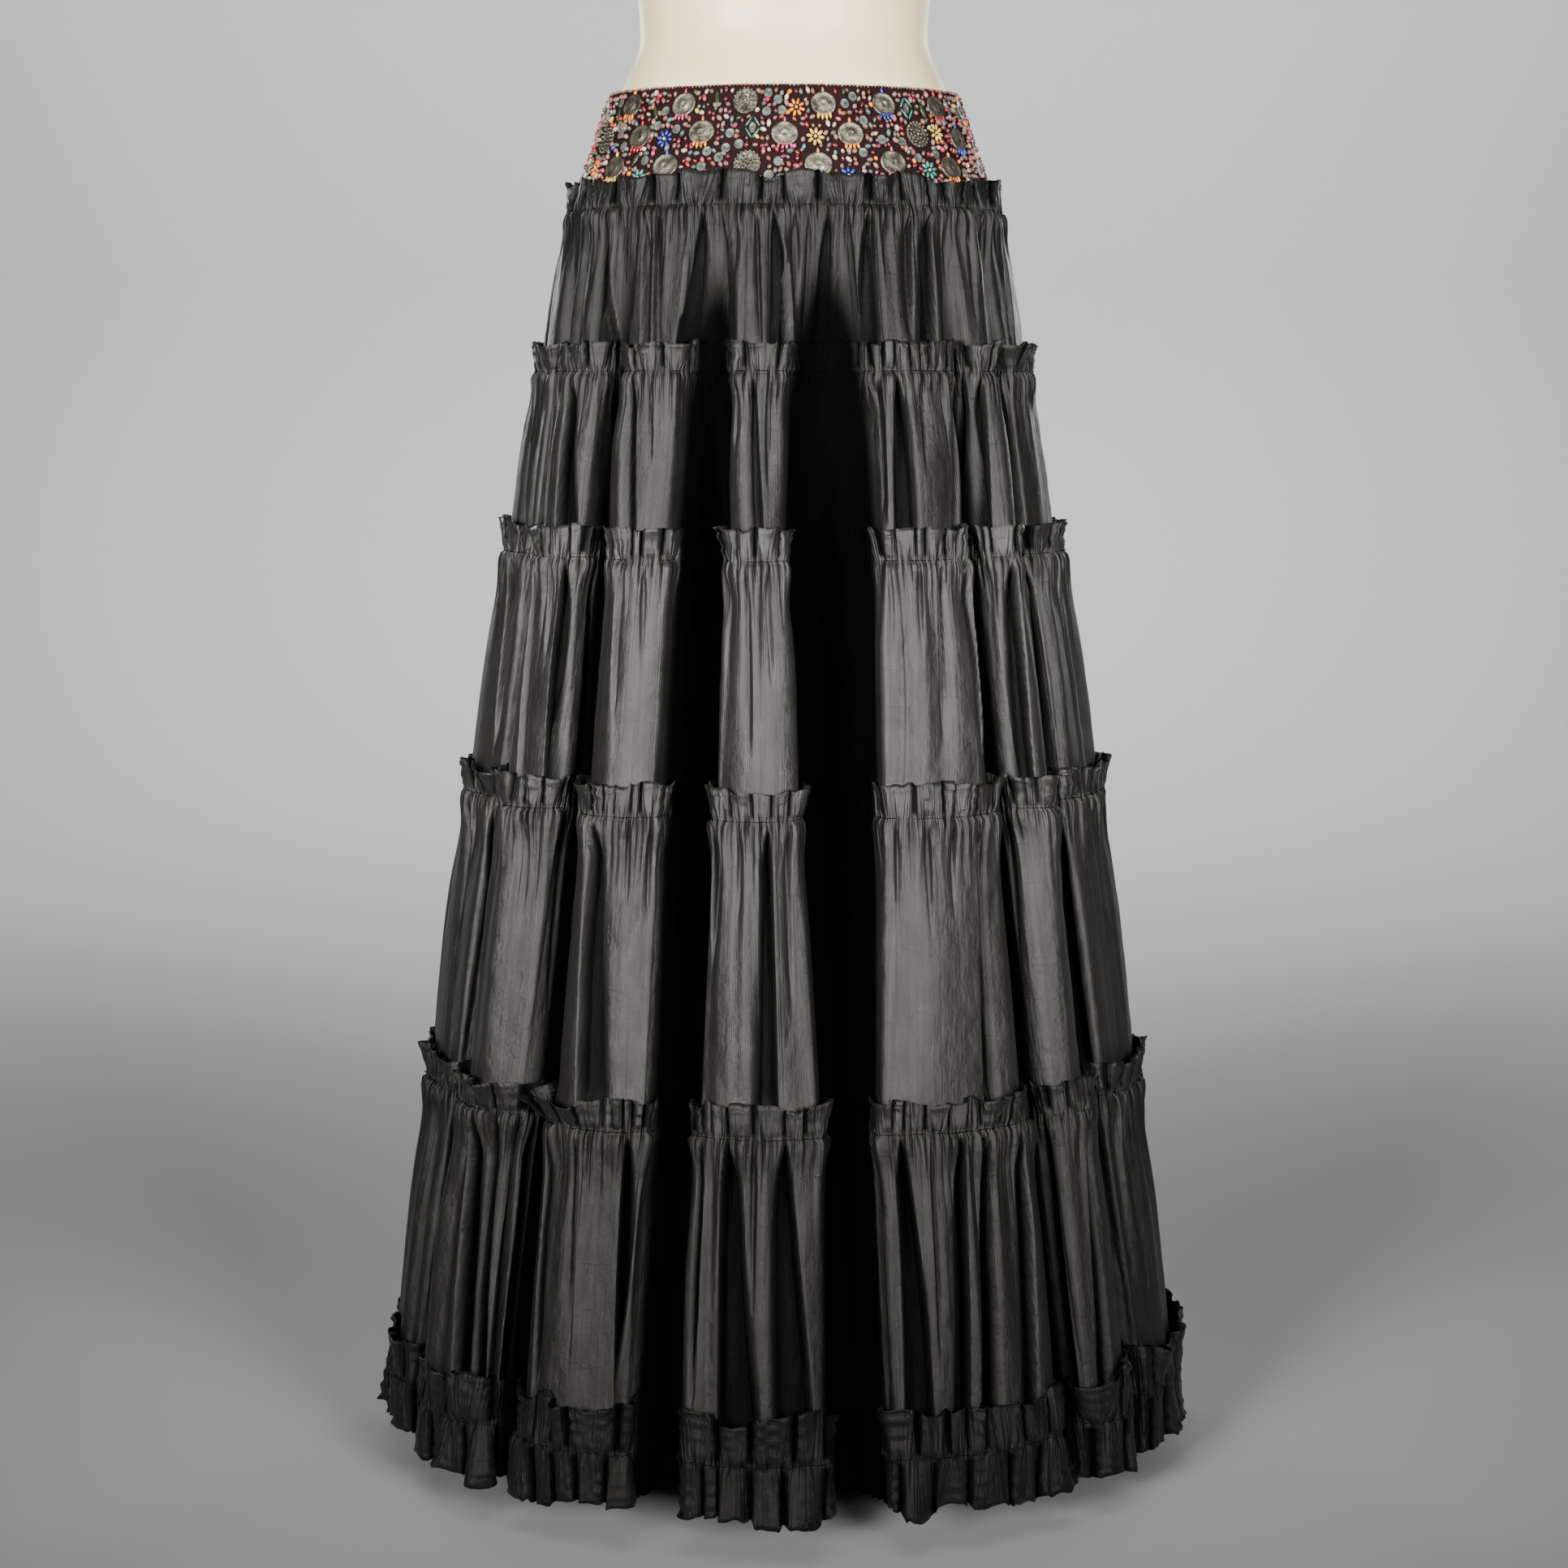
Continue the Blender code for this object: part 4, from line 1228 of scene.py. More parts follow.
# %% Sew the five tiers
cloth_pieces = {}
line_rows = {}
for strip in STRIPS:
    chance = np.random.default_rng(strip.seed)
    seam_z = LEVEL[strip.seam].z
    seam_length = seam_round(seam_z)[1].sum()
    tucks = tuck_edges(seam_length, TUCK_SMALLEST, TUCK_LARGEST, chance)
    narrow_folds = strip_folds(strip, chance)
    columns = shared_columns(seam_z, strip.columns, narrow_folds)
    heading = Ruffle(
        tall=strip.heading, direction=1.0, depth=HEADING_DEPTH, fewest=strip.fewest, most=strip.most,
        lean=HEADING_LEAN, lean_spread=HEADING_LEAN_SPREAD,
        ragged=strip.ragged, crumple=HEADING_CRUMPLE, settle=0.0, rows=HEADING_ROWS,
    )
    free = ruffle_rows(heading, seam_z, columns, tucks, chance)
    hanging = tier_rows(strip, columns, tucks, narrow_folds, chance)
    rows = free[::-1] + hanging[1:]
    cloth_pieces[strip.name] = sew_round(strip.name, rows, columns, taffeta, strip.faded)
    line_rows[strip.name] = (hanging[0], columns)
    print(strip.name, "metres round:", round(columns.length, 3), "tucks:", len(tucks) - 1)

# %% [markdown]
# ## The flounce
# The last strip is narrow and gathered along its middle, so it is a ruffle on both sides of its
# line: one part stands up against the fifth tier and the other falls to the hem. Its waves are
# wider and deeper than the headings', and its cut edges are the most uneven of all.

# %% Sew the flounce
FLOUNCE_SEED = 31
FLOUNCE_COLUMNS = 1180
# The flounce gets the least painted light: its colour and specular are painted darkest, as painted
# shade.
FLOUNCE_PAINTED_LIGHT = 0.42
FLOUNCE_UP = Ruffle(
    tall=0.038, direction=1.0, depth=0.0110, fewest=2, most=5,
    lean=math.radians(1.0), lean_spread=math.radians(7.0),
    ragged=0.0085, crumple=0.0036, settle=0.25, rows=13,
)
FLOUNCE_DOWN = Ruffle(
    tall=0.0430, direction=-1.0, depth=0.0125, fewest=2, most=5,
    lean=math.radians(-1.0), lean_spread=math.radians(4.0),
    ragged=0.0065, crumple=0.0034, settle=0.40, rows=14,
)

chance = np.random.default_rng(FLOUNCE_SEED)
seam_z = LEVEL["seam_6"].z
columns = shared_columns(seam_z, FLOUNCE_COLUMNS)
tucks = tuck_edges(columns.length, TUCK_SMALLEST, 1.3 * TUCK_LARGEST, chance)
free = ruffle_rows(FLOUNCE_UP, seam_z, columns, tucks, chance)
falling = ruffle_rows(FLOUNCE_DOWN, seam_z, columns, tucks, chance)
rows = free[::-1] + falling[1:]
cloth_pieces["flounce"] = sew_round("flounce", rows, columns, taffeta, FLOUNCE_PAINTED_LIGHT)
line_rows["flounce"] = (falling[0], columns)
print("flounce, metres round:", round(columns.length, 3), "tucks:", len(tucks) - 1)

# %% [markdown]
# ## Stitches
# Two rows of machine stitches would hold each gather line; one shows. Each stitch is a short
# thread that lies on the tucks, so the line looks beaded with them, as a sewn line does.

# %% Stitch along every gather line
STITCH_STEP = 0.0030
STITCH_LENGTH = 0.0021
STITCH_THICK = 0.0004
STITCH_LIFT = 0.0001
BOX_FACES = [(0, 1, 2, 3), (7, 6, 5, 4), (0, 4, 5, 1), (1, 5, 6, 2), (2, 6, 7, 3), (3, 7, 4, 0)]


def stitch_mesh(name, line):
    """Short threads along a line of points on the cloth."""
    steps = np.linalg.norm(np.diff(line, axis=0), axis=1)
    lengths = np.concatenate([[0.0], np.cumsum(steps)])
    starts = np.arange(STITCH_STEP, lengths[-1] - STITCH_STEP, STITCH_STEP)
    ends = starts + STITCH_LENGTH
    first, last = (
        np.stack([np.interp(at, lengths, line[:, axis]) for axis in range(3)], axis=1)
        for at in (starts, ends)
    )
    along = (last - first) / np.linalg.norm(last - first, axis=1)[:, None]
    outward = np.stack([along[:, 1], -along[:, 0], 0.0 * along[:, 0]], axis=1)
    upward = np.array([0.0, 0.0, 1.0]) * STITCH_THICK / 2
    corners = []
    for point in (first, last):
        low = point + outward * STITCH_LIFT
        high = point + outward * (STITCH_LIFT + STITCH_THICK)
        corners += [low - upward, low + upward, high + upward, high - upward]
    points = np.stack(corners, axis=1).reshape(-1, 3)
    firsts = range(0, len(points), 8)
    faces = [tuple(first + corner for corner in face) for first in firsts for face in BOX_FACES]
    mesh = bpy.data.meshes.new(name)
    mesh.from_pydata(points.tolist(), [], faces)
    mesh.uv_layers.new(name="threads")
    mesh.materials.append(thread_black)
    return mesh


for name, (row, columns) in line_rows.items():
    for side, first, last in (("front", 0, columns.front), ("back", columns.front, len(row) - 1)):
        mesh = stitch_mesh(f"{name}_{side}_stitches", row[first:last + 1, :3])
        add_piece(mesh)

# %% [markdown]
# ## The velvet yoke
# The yoke is a shaped band, cut wider at the hip than at its top edge. It is one layer that
# turns over at the top and runs down a little inside. The beads pull it into faint dimples.

# %% Sew the yoke
YOKE_TALL = LEVEL["yoke_top"].z - LEVEL["seam_1"].z
YOKE_LEAN = math.atan2(LEVEL["seam_1"].half_width - LEVEL["yoke_top"].half_width, YOKE_TALL)
YOKE_WALL = 0.0015
YOKE_START = 0.0010
YOKE_FACING = 0.008
YOKE_COLUMNS = 150
YOKE_ROWS = 24
DIMPLE = 0.0003
DIMPLE_WIDE = 0.007
DIMPLE_SEED = 42


def yoke_radius(azimuth):
    """How far round the yoke a radian takes you, halfway up it."""
    middle = section_at(LEVEL["seam_1"].z + YOKE_TALL / 2)
    return np.hypot(middle[0] * np.cos(azimuth), middle[1] * np.sin(azimuth))


def yoke_points(azimuth, height, raised):
    """Points on the yoke's outer face, raised from it along its normal."""
    share = height / YOKE_TALL
    half_width = between(LEVEL["seam_1"].half_width, LEVEL["yoke_top"].half_width, share)
    half_depth = between(LEVEL["seam_1"].half_depth, LEVEL["yoke_top"].half_depth, share)
    outward = np.stack([half_depth * np.sin(azimuth), -half_width * np.cos(azimuth)], axis=-1)
    outward /= np.linalg.norm(outward, axis=-1)[..., None]
    flat = np.stack([half_width * np.sin(azimuth), -half_depth * np.cos(azimuth)], axis=-1)
    flat += outward * (raised * math.cos(YOKE_LEAN))[..., None]
    level = LEVEL["seam_1"].z + height + raised * math.sin(YOKE_LEAN)
    return np.concatenate([flat, level[..., None]], axis=-1)


def yoke_half(side, start):
    """One half of the yoke as a thin sheet with its top edge turned over."""
    gap = SEAM_GAP / 2 / yoke_radius(start)
    azimuth = np.linspace(start + gap, start + math.pi - gap, YOKE_COLUMNS)
    plan = [(height, 0.0) for height in np.linspace(YOKE_START, YOKE_TALL - 0.0006, YOKE_ROWS)]
    plan += [(YOKE_TALL - 0.0001, -0.0003), (YOKE_TALL, -0.0008), (YOKE_TALL - 0.0003, -YOKE_WALL)]
    plan += [(YOKE_TALL - share * YOKE_FACING, -YOKE_WALL) for share in (0.3, 0.6, 1.0)]
    along = azimuth * yoke_radius(0.5 * math.pi)
    rows = []
    for height, raised in plan:
        heights = np.full(YOKE_COLUMNS, height)
        same_draw = np.random.default_rng(DIMPLE_SEED)
        dimples = lattice_noise(along, heights, DIMPLE_WIDE, DIMPLE_WIDE, same_draw)
        depth = DIMPLE * dimples if raised == 0.0 else 0.0
        rows.append(yoke_points(azimuth, heights, raised + depth + 0.0 * azimuth))
    grid = np.stack(rows[::-1])
    down = np.array([YOKE_TALL - height - raised for height, raised in plan[::-1]])
    mesh = grid_mesh(f"yoke_{side}_velvet", grid, along, down)
    mesh.materials.append(velvet)
    return add_piece(mesh, f"yoke_{side}")


YOKE_SIDES = {"front": -0.5 * math.pi, "back": 0.5 * math.pi}
yoke_pieces = {side: yoke_half(side, start) for side, start in YOKE_SIDES.items()}
print("yoke tall, mm:", round(1000 * YOKE_TALL, 1))

# %% [markdown]
# ## Beads, one kind at a time
# The whole yoke is sewn over with beads. Each kind is turned once, like wood on a lathe, as a
# unit shape: a round bead, a stamped coin, a dished sequin. Sewing one on means sizing it,
# turning it and bending it onto the yoke's curve.

# %% Turn the shapes
Work = namedtuple("Work", "points faces finishes")
Spot = namedtuple("Spot", "azimuth height reach")


def turned(profile, sides, flute=0.0):
    """A closed round shape from a profile that starts and ends on its axis."""
    points = [(0.0, 0.0, profile[0][1])]
    for radius, out in profile[1:-1]:
        for side in range(sides):
            turn = 2.0 * math.pi * side / sides
            rise = out * (1.0 + flute * (1 if side % 2 else -1))
            points.append((radius * math.cos(turn), radius * math.sin(turn), rise))
    points.append((0.0, 0.0, profile[-1][1]))
    back = len(points) - 1
    last = back - sides
    faces = []
    for side in range(sides):
        after = (side + 1) % sides
        faces.append((0, 1 + side, 1 + after))
        for low in range(1, last, sides):
            faces.append((low + side, low + sides + side, low + sides + after, low + after))
        faces.append((last + side, back, last + after))
    return np.array(points), faces


def ball_profile(rings):
    """The profile of a unit ball."""
    turns = [math.pi * ring / (rings + 1) for ring in range(rings + 2)]
    return [(math.sin(turn), math.cos(turn)) for turn in turns]


COIN_PROFILE = [
    (0.0, 0.80), (0.14, 0.78), (0.22, 1.0), (0.32, 0.98), (0.38, 0.66), (0.60, 0.72), (0.80, 0.62),
    (0.88, 0.86), (0.97, 0.74), (1.0, 0.45), (1.0, 0.0), (0.0, 0.0),
]
SEQUIN_PROFILE = [
    (0.0, 0.35), (0.30, 0.40), (0.80, 0.70), (0.95, 1.0), (1.0, 0.85), (0.95, 0.5), (0.0, 0.0),
]
BALL = turned(ball_profile(3), 6)
COIN = turned(COIN_PROFILE, 28, 0.07)
SEQUIN = turned(SEQUIN_PROFILE, 14)


def sew_on(work, spot, shape, size, finish, shift=(0.0, 0.0, 0.0), turn=0.0):
    """Adds a shape to some beadwork: sized, turned, shifted and bent onto the yoke."""
    points, faces = shape
    sized = points * np.array(size)
    across = math.cos(turn) * sized[:, 0] - math.sin(turn) * sized[:, 1] + shift[0]
    up = math.sin(turn) * sized[:, 0] + math.cos(turn) * sized[:, 1] + shift[1]
    azimuth = spot.azimuth + across / yoke_radius(spot.azimuth)
    first = work.faces[-1][0] + len(work.points[-1]) if work.faces else 0
    work.points.append(yoke_points(azimuth, spot.height + up, sized[:, 2] + shift[2]))
    work.faces.append((first, faces))
    work.finishes.append(finish)


def beadwork_piece(name, work):
    """One piece from all the shapes of some beadwork."""
    mesh = bpy.data.meshes.new(name)
    faces = [tuple(first + corner for corner in face) for first, part in work.faces for face in part]
    mesh.from_pydata(np.concatenate(work.points).tolist(), [], faces)
    used = sorted(set(work.finishes))
    for finish in used:
        mesh.materials.append(bead_finishes[finish])
    numbers = [used.index(f) for f, (_, part) in zip(work.finishes, work.faces) for _ in part]
    mesh.polygons.foreach_set("material_index", np.array(numbers, dtype=np.int32))
    mesh.shade_smooth()
    return add_piece(mesh)


print("triangles in a bead:", sum(len(face) - 2 for face in BALL[1]))

# %% [markdown]
# The palette is warm: most beads are dusty pink, rust and burgundy, and the yellow, orange, blue
# and turquoise ones are kept for the flowers and drops. Glass beads are glossy; the coins and
# filigree are stamped from thin silver-coloured metal that has gone dull in its hollows.

# %% Mix a palette of beads
BeadColor = namedtuple("BeadColor", "name color share")
BEAD_COLORS = [
    BeadColor("dusty pink", (0.215, 0.105, 0.088), 0.36),
    BeadColor("rust", (0.200, 0.062, 0.032), 0.14),
    BeadColor("burgundy", (0.100, 0.014, 0.020), 0.17),
    BeadColor("cream", (0.480, 0.420, 0.300), 0.06),
    BeadColor("grey green", (0.085, 0.110, 0.092), 0.14),
    BeadColor("red", (0.320, 0.014, 0.022), 0.04),
    BeadColor("pink", (0.360, 0.060, 0.090), 0.03),
    BeadColor("orange", (0.620, 0.160, 0.012), 0.015),
    BeadColor("yellow", (0.600, 0.370, 0.055), 0.015),
    BeadColor("blue", (0.016, 0.034, 0.250), 0.005),
    BeadColor("turquoise", (0.035, 0.190, 0.150), 0.015),
    BeadColor("leaf green", (0.030, 0.058, 0.024), 0.02),
]


def bead_finish(bead):
    """Glossy glass in one colour, a little lighter or darker from bead to bead."""
    made, tree, shader = node_material(bead.name + " beads")
    place = object_place(tree)
    change = uneven(tree, place, (0.005, 0.005, 0.005), 1.0)
    dark = [0.55 * part for part in bead.color]
    light = [min(0.9, 1.25 * part) for part in bead.color]
    look = {
        "Base Color": tinted(tree, change, dark, light),
        "Roughness": spread_over(tree, change, 0.16, 0.34),
        "Coat Weight": 0.3,
        "Normal": bumped(tree, [(uneven(tree, place, (0.0009, 0.0009, 0.0009), 1.0), 0.0001)]),
    }
    join_inputs(tree, shader, look)
    return made


def silver_finish():
    """Stamped silver-coloured metal, tarnished in its hollows."""
    made, tree, shader = node_material("tarnished silver")
    place = object_place(tree)
    tarnish = uneven(tree, place, (0.006, 0.006, 0.006), 4.0)
    stamped = uneven(tree, place, (0.0012, 0.0012, 0.0012), 2.0)
    look = {
        "Base Color": tinted(tree, tarnish, (0.040, 0.038, 0.027), (0.23, 0.208, 0.158)),
        "Metallic": 0.85,
        "Roughness": spread_over(tree, tarnish, 0.55, 0.36),
        "Normal": bumped(tree, [(stamped, 0.0005)]),
    }
    join_inputs(tree, shader, look)
    return made


bead_finishes = {bead.name: bead_finish(bead) for bead in BEAD_COLORS}
bead_finishes["silver"] = silver_finish()
print("bead finishes:", len(bead_finishes))

# %% [markdown]
# ## The motifs
# A coin hangs from one bead and has four drops along its lower edge. Between the coins come
# filigree rounds, flowers with eight petals, diamonds of long beads, leaves and sequins. Where
# each goes is this lesson's own layout: the coins sit in three staggered rows on the plain
# model's raised rounds, the rest is drawn at places that are still free.

# %% Draw the motifs
COIN_WIDE = 0.0104
COIN_TALL = 0.0090
COIN_THICK = 0.0017
COIN_TURN = 0.12
HANGING_BEAD = (0.0013, 0.0024, 0.0012)
DROP = (0.00125, 0.0030, 0.0011)
DROP_STEP = 0.0031
DROP_LIFT = 0.0014
FILIGREE_DISC = (0.0100, 0.0100, 0.0007)
FILIGREE_ROUNDS = [(18, 0.0092), (12, 0.0063), (7, 0.0034)]
FILIGREE_BEAD = 0.0012
FILIGREE_MIDDLE = 0.0016
PETALS = 8
PETAL = (0.0028, 0.0014, 0.0011)
PETAL_OUT = 0.0046
LONG_BEAD = (0.0009, 0.0052, 0.0010)
LEAF = (0.0020, 0.0062, 0.0008)
DROP_COLORS = ["orange", "yellow", "blue", "red", "orange", "pink"]
FLOWER_COLORS = ["yellow", "blue", "turquoise", "orange"]


def coin_motif(coins, beads, spot, number, chance):
    """A stamped coin with one bead above it and four drops below."""
    color = DROP_COLORS[number % len(DROP_COLORS)]
    turn = chance.uniform(-COIN_TURN, COIN_TURN)
    size = (COIN_WIDE, COIN_TALL, COIN_THICK)
    sew_on(coins, spot, COIN, size, "silver", (0.0, 0.0, 0.0003), turn)
    for step in (-1.5, -0.5, 0.5, 1.5):
        across = DROP_STEP * step
        up = -COIN_TALL * math.sqrt(1.0 - (across / COIN_WIDE) ** 2) - 0.0008
        sew_on(beads, spot, BALL, DROP, color, (across, up, DROP_LIFT), 0.12 * step)
    sew_on(beads, spot, BALL, HANGING_BEAD, color, (0.0, COIN_TALL + 0.0010, DROP_LIFT))


def filigree_motif(coins, spot):
    """A round of small silver beads on a thin disc."""
    sew_on(coins, spot, SEQUIN, FILIGREE_DISC, "silver", (0.0, 0.0, 0.0002))
    for count, radius in FILIGREE_ROUNDS:
        for number in range(count):
            turn = 2.0 * math.pi * number / count
            shift = (radius * math.cos(turn), radius * math.sin(turn), 0.0014)
            sew_on(coins, spot, BALL, 3 * [FILIGREE_BEAD], "silver", shift)
    sew_on(coins, spot, BALL, 3 * [FILIGREE_MIDDLE], "silver", (0.0, 0.0, FILIGREE_MIDDLE))


def flower_motif(beads, spot, number):
    """Eight long petals round one bead."""
    color = FLOWER_COLORS[number % len(FLOWER_COLORS)]
    for petal in range(PETALS):
        turn = 2.0 * math.pi * (petal + 0.2 * number) / PETALS
        shift = (PETAL_OUT * math.cos(turn), PETAL_OUT * math.sin(turn), PETAL[2])
        sew_on(beads, spot, BALL, PETAL, color, shift, turn)
    sew_on(beads, spot, BALL, (0.0014, 0.0014, 0.0015), "cream", (0.0, 0.0, 0.0013))


def diamond_motif(coins, beads, spot):
    """Four long beads set as a diamond round a sequin."""
    for side in (-1.0, 1.0):
        for end in (-1.0, 1.0):
            turn = side * end * math.radians(-35.0)
            shift = (side * 0.0030, end * 0.0043, 0.0010)
            sew_on(beads, spot, BALL, LONG_BEAD, "turquoise", shift, -turn)
    sew_on(coins, spot, SEQUIN, (0.0026, 0.0042, 0.0006), "silver", (0.0, 0.0, 0.0003))


def leaf_motif(beads, spot, chance):
    """A long dark leaf with a bead at its foot."""
    turn = chance.uniform(-0.5, 0.5)
    sew_on(beads, spot, BALL, LEAF, "leaf green", (0.0, 0.0, LEAF[2]), turn)
    sew_on(beads, spot, BALL, (0.0011, 0.0016, 0.0011), "turquoise", (0.0, -0.0075, 0.0011))


print("drop colours:", len(DROP_COLORS), "flower colours:", len(FLOWER_COLORS))

# %% [markdown]
# The places are drawn from the largest motif to the smallest, each at a spot that is free. The
# small beads come last: they fill what is left, one to each cell of a loose grid, turned every
# way. A row of little beads edges the top.

# %% Bead both halves of the yoke
CoinRow = namedtuple("CoinRow", "height start count")
COIN_ROWS = [CoinRow(0.0310, 0.50, 8), CoinRow(0.0535, 0.95, 7), CoinRow(0.0765, 0.50, 8)]
COIN_PITCH = math.pi / 8
COIN_SWAY = 0.09
COIN_LIFT = 0.0018
COIN_REACH = 0.0118
COINS_TO_A_FILIGREE = 5
HALF_EDGE = 0.006
SEQUIN_SIZE = (0.0036, 0.0036, 0.0006)
SEQUIN_BEAD = 0.0008
BEAD_SIZES = (0.0013, 0.0020)
BEAD_LENGTHS = (1.20, 1.75)
BEAD_SHIFT = 0.30
EDGE_BEAD = 0.0011
EDGE_COLORS = ["burgundy", "rust", "dusty pink", "grey green"]
FIRST_BEAD = 0.014
LAST_BEAD = YOKE_TALL - 0.0035
BEAD_PITCH = 0.0050
EDGE_STEP = 0.0034
Kind = namedtuple("Kind", "name tries reach")
FREE_KINDS = [
    Kind("flower", 60, 0.0074),
    Kind("diamond", 20, 0.0080),
    Kind("leaf", 60, 0.0052),
    Kind("sequin", 240, 0.0037),
]


def coin_spots(start):
    """Where the coins sit on one half, on the plain model's raised rounds."""
    chance = np.random.default_rng(round(math.degrees(start)) + 360)
    spots = []
    for row in COIN_ROWS:
        for number in range(row.count):
            sway = COIN_SWAY * chance.uniform(-1.0, 1.0)
            lift = COIN_LIFT * chance.uniform(-1.0, 1.0)
            azimuth = start + COIN_PITCH * (row.start + number + sway)
            spots.append(Spot(azimuth, row.height + lift, COIN_REACH))
    return spots


def room_left(spots, azimuth, height):
    """How far a place is from the nearest motif's edge."""
    across = (np.array([spot.azimuth for spot in spots]) - azimuth) * yoke_radius(azimuth)
    up = np.array([spot.height for spot in spots]) - height
    return float((np.hypot(across, up) - [spot.reach for spot in spots]).min())


def bead_half(side, start):
    """All the beadwork on one half of the yoke."""
    coins = Work([], [], [])
    beads = Work([], [], [])
    chance = np.random.default_rng(51 + round(start))
    spots = coin_spots(start)
    for number, spot in enumerate(spots):
        if number % COINS_TO_A_FILIGREE == 3:
            filigree_motif(coins, spot)
        else:
            coin_motif(coins, beads, spot, number, chance)
    edge = HALF_EDGE / yoke_radius(start)
    for kind in FREE_KINDS:
        found = 0
        for _ in range(kind.tries):
            azimuth = chance.uniform(start + edge, start + math.pi - edge)
            height = chance.uniform(FIRST_BEAD + 0.004, LAST_BEAD - kind.reach)
            if room_left(spots, azimuth, height) < kind.reach:
                continue
            spot = Spot(azimuth, height, kind.reach)
            spots.append(spot)
            found += 1
            if kind.name == "flower":
                flower_motif(beads, spot, found)
            elif kind.name == "diamond":
                diamond_motif(coins, beads, spot)
            elif kind.name == "leaf":
                leaf_motif(beads, spot, chance)
            else:
                sew_on(beads, spot, SEQUIN, SEQUIN_SIZE, "grey green", (0.0, 0.0, 0.0003))
                sew_on(coins, spot, BALL, 3 * [SEQUIN_BEAD], "silver", (0.0, 0.0, 0.0007))
    names = [bead.name for bead in BEAD_COLORS]
    shares = np.array([bead.share for bead in BEAD_COLORS])
    shares = shares / shares.sum()
    radius = yoke_radius(start + 0.5 * math.pi)
    for height in np.arange(FIRST_BEAD, LAST_BEAD, BEAD_PITCH):
        for azimuth in np.arange(start + edge / 2, start + math.pi - edge / 2, BEAD_PITCH / radius):
            jitter = chance.uniform(-BEAD_SHIFT, BEAD_SHIFT, 2) * BEAD_PITCH
            at = Spot(azimuth + jitter[0] / radius, height + jitter[1], 0.0)
            size = chance.uniform(*BEAD_SIZES)
            longer = size * chance.uniform(*BEAD_LENGTHS)
            turn = chance.uniform(0.0, math.pi)
            name = chance.choice(names, p=shares)
            if room_left(spots, at.azimuth, at.height) > 0.0002:
                sew_on(beads, at, BALL, (size, longer, size), name, (0.0, 0.0, size), turn)
    for azimuth in np.arange(start + edge / 3, start + math.pi - edge / 3, EDGE_STEP / radius):
        at = Spot(azimuth, YOKE_TALL - 0.0012 + chance.uniform(-0.0004, 0.0004), 0.0)
        name = chance.choice(EDGE_COLORS)
        sew_on(beads, at, BALL, 3 * [EDGE_BEAD], name, (0.0, 0.0, 0.0010))
    made = {
        "coins": beadwork_piece(f"coins_{side}", coins),
        "beads": beadwork_piece(f"beads_{side}", beads),
    }
    print(side, "shapes sewn on:", len(coins.points) + len(beads.points))
    return made


beadwork = {side: bead_half(side, start) for side, start in YOKE_SIDES.items()}

# %% [markdown]
# ## The dress form
# The form is a smooth moulded shell. A table gives a ring of measures at each height, and a
# smooth surface is drawn through them. Under the yoke it follows the yoke's inside.

# %% Shape the form
FormRing = namedtuple("FormRing", "z half_width front back")
SEAT_INSET = 0.0022
SEAT_TOP = 1.047


def seat(z, sunk=0.0):
    """The form just inside the yoke."""
    half_width, half_depth, _ = section_at(z)
    inset = SEAT_INSET + sunk
    return FormRing(z, half_width - inset, half_depth - inset, half_depth - inset)


FORM_RINGS = [
    FormRing(0.8450, 0.1240, 0.0880, 0.0940),
    FormRing(0.8510, 0.1340, 0.0980, 0.1040),
    FormRing(0.8850, 0.1420, 0.1050, 0.1110),
    FormRing(0.9250, 0.1470, 0.1090, 0.1140),
    FormRing(0.9700, 0.1530, 0.1140, 0.1155),
    seat(LEVEL["seam_1"].z, 0.0014),
    seat(0.9990, 0.0007),
    seat(1.0060),
    seat(1.0280),
    seat(SEAT_TOP),
    FormRing(1.0870, 0.1280, 0.0950, 0.0955),
    FormRing(1.1290, 0.1120, 0.0830, 0.0840),
    FormRing(1.1750, 0.1165, 0.0860, 0.0880),
    FormRing(1.2400, 0.1310, 0.1010, 0.0960),
    FormRing(1.3000, 0.1430, 0.1210, 0.0990),
    FormRing(1.3500, 0.1490, 0.1240, 0.1020),
    FormRing(1.4050, 0.1600, 0.1060, 0.1030),
    FormRing(1.4450, 0.1660, 0.0860, 0.0970),
    FormRing(1.4730, 0.1500, 0.0720, 0.0880),
    FormRing(1.4920, 0.1120, 0.0620, 0.0750),
    FormRing(1.5080, 0.0700, 0.0550, 0.0600),
    FormRing(1.5520, 0.0560, 0.0520, 0.0530),
]
FORM_STEPS = 6
FORM_SIDES = 128
EDGE_ROUND = 0.003


def smooth_through(places, values, at):
    """A smooth curve through points that never swings past them."""
    slopes = np.diff(values) / np.diff(places)
    tangents = np.zeros(len(values))
    same_way = slopes[:-1] * slopes[1:] > 0.0
    steadier = 2.0 * slopes[:-1] * slopes[1:] / np.where(same_way, slopes[:-1] + slopes[1:], 1.0)
    tangents[1:-1] = np.where(same_way, steadier, 0.0)
    tangents[0], tangents[-1] = slopes[0], slopes[-1]
    number = np.clip(np.searchsorted(places, at, side="right") - 1, 0, len(slopes) - 1)
    width = np.diff(places)[number]
    share = (at - places[number]) / width
    ease = eased(share)
    start = values[number] + width * tangents[number] * share * (1.0 - share) ** 2
    return start + (values[number + 1] - values[number]) * ease - (
        width * tangents[number + 1] * share ** 2 * (1.0 - share)
    )


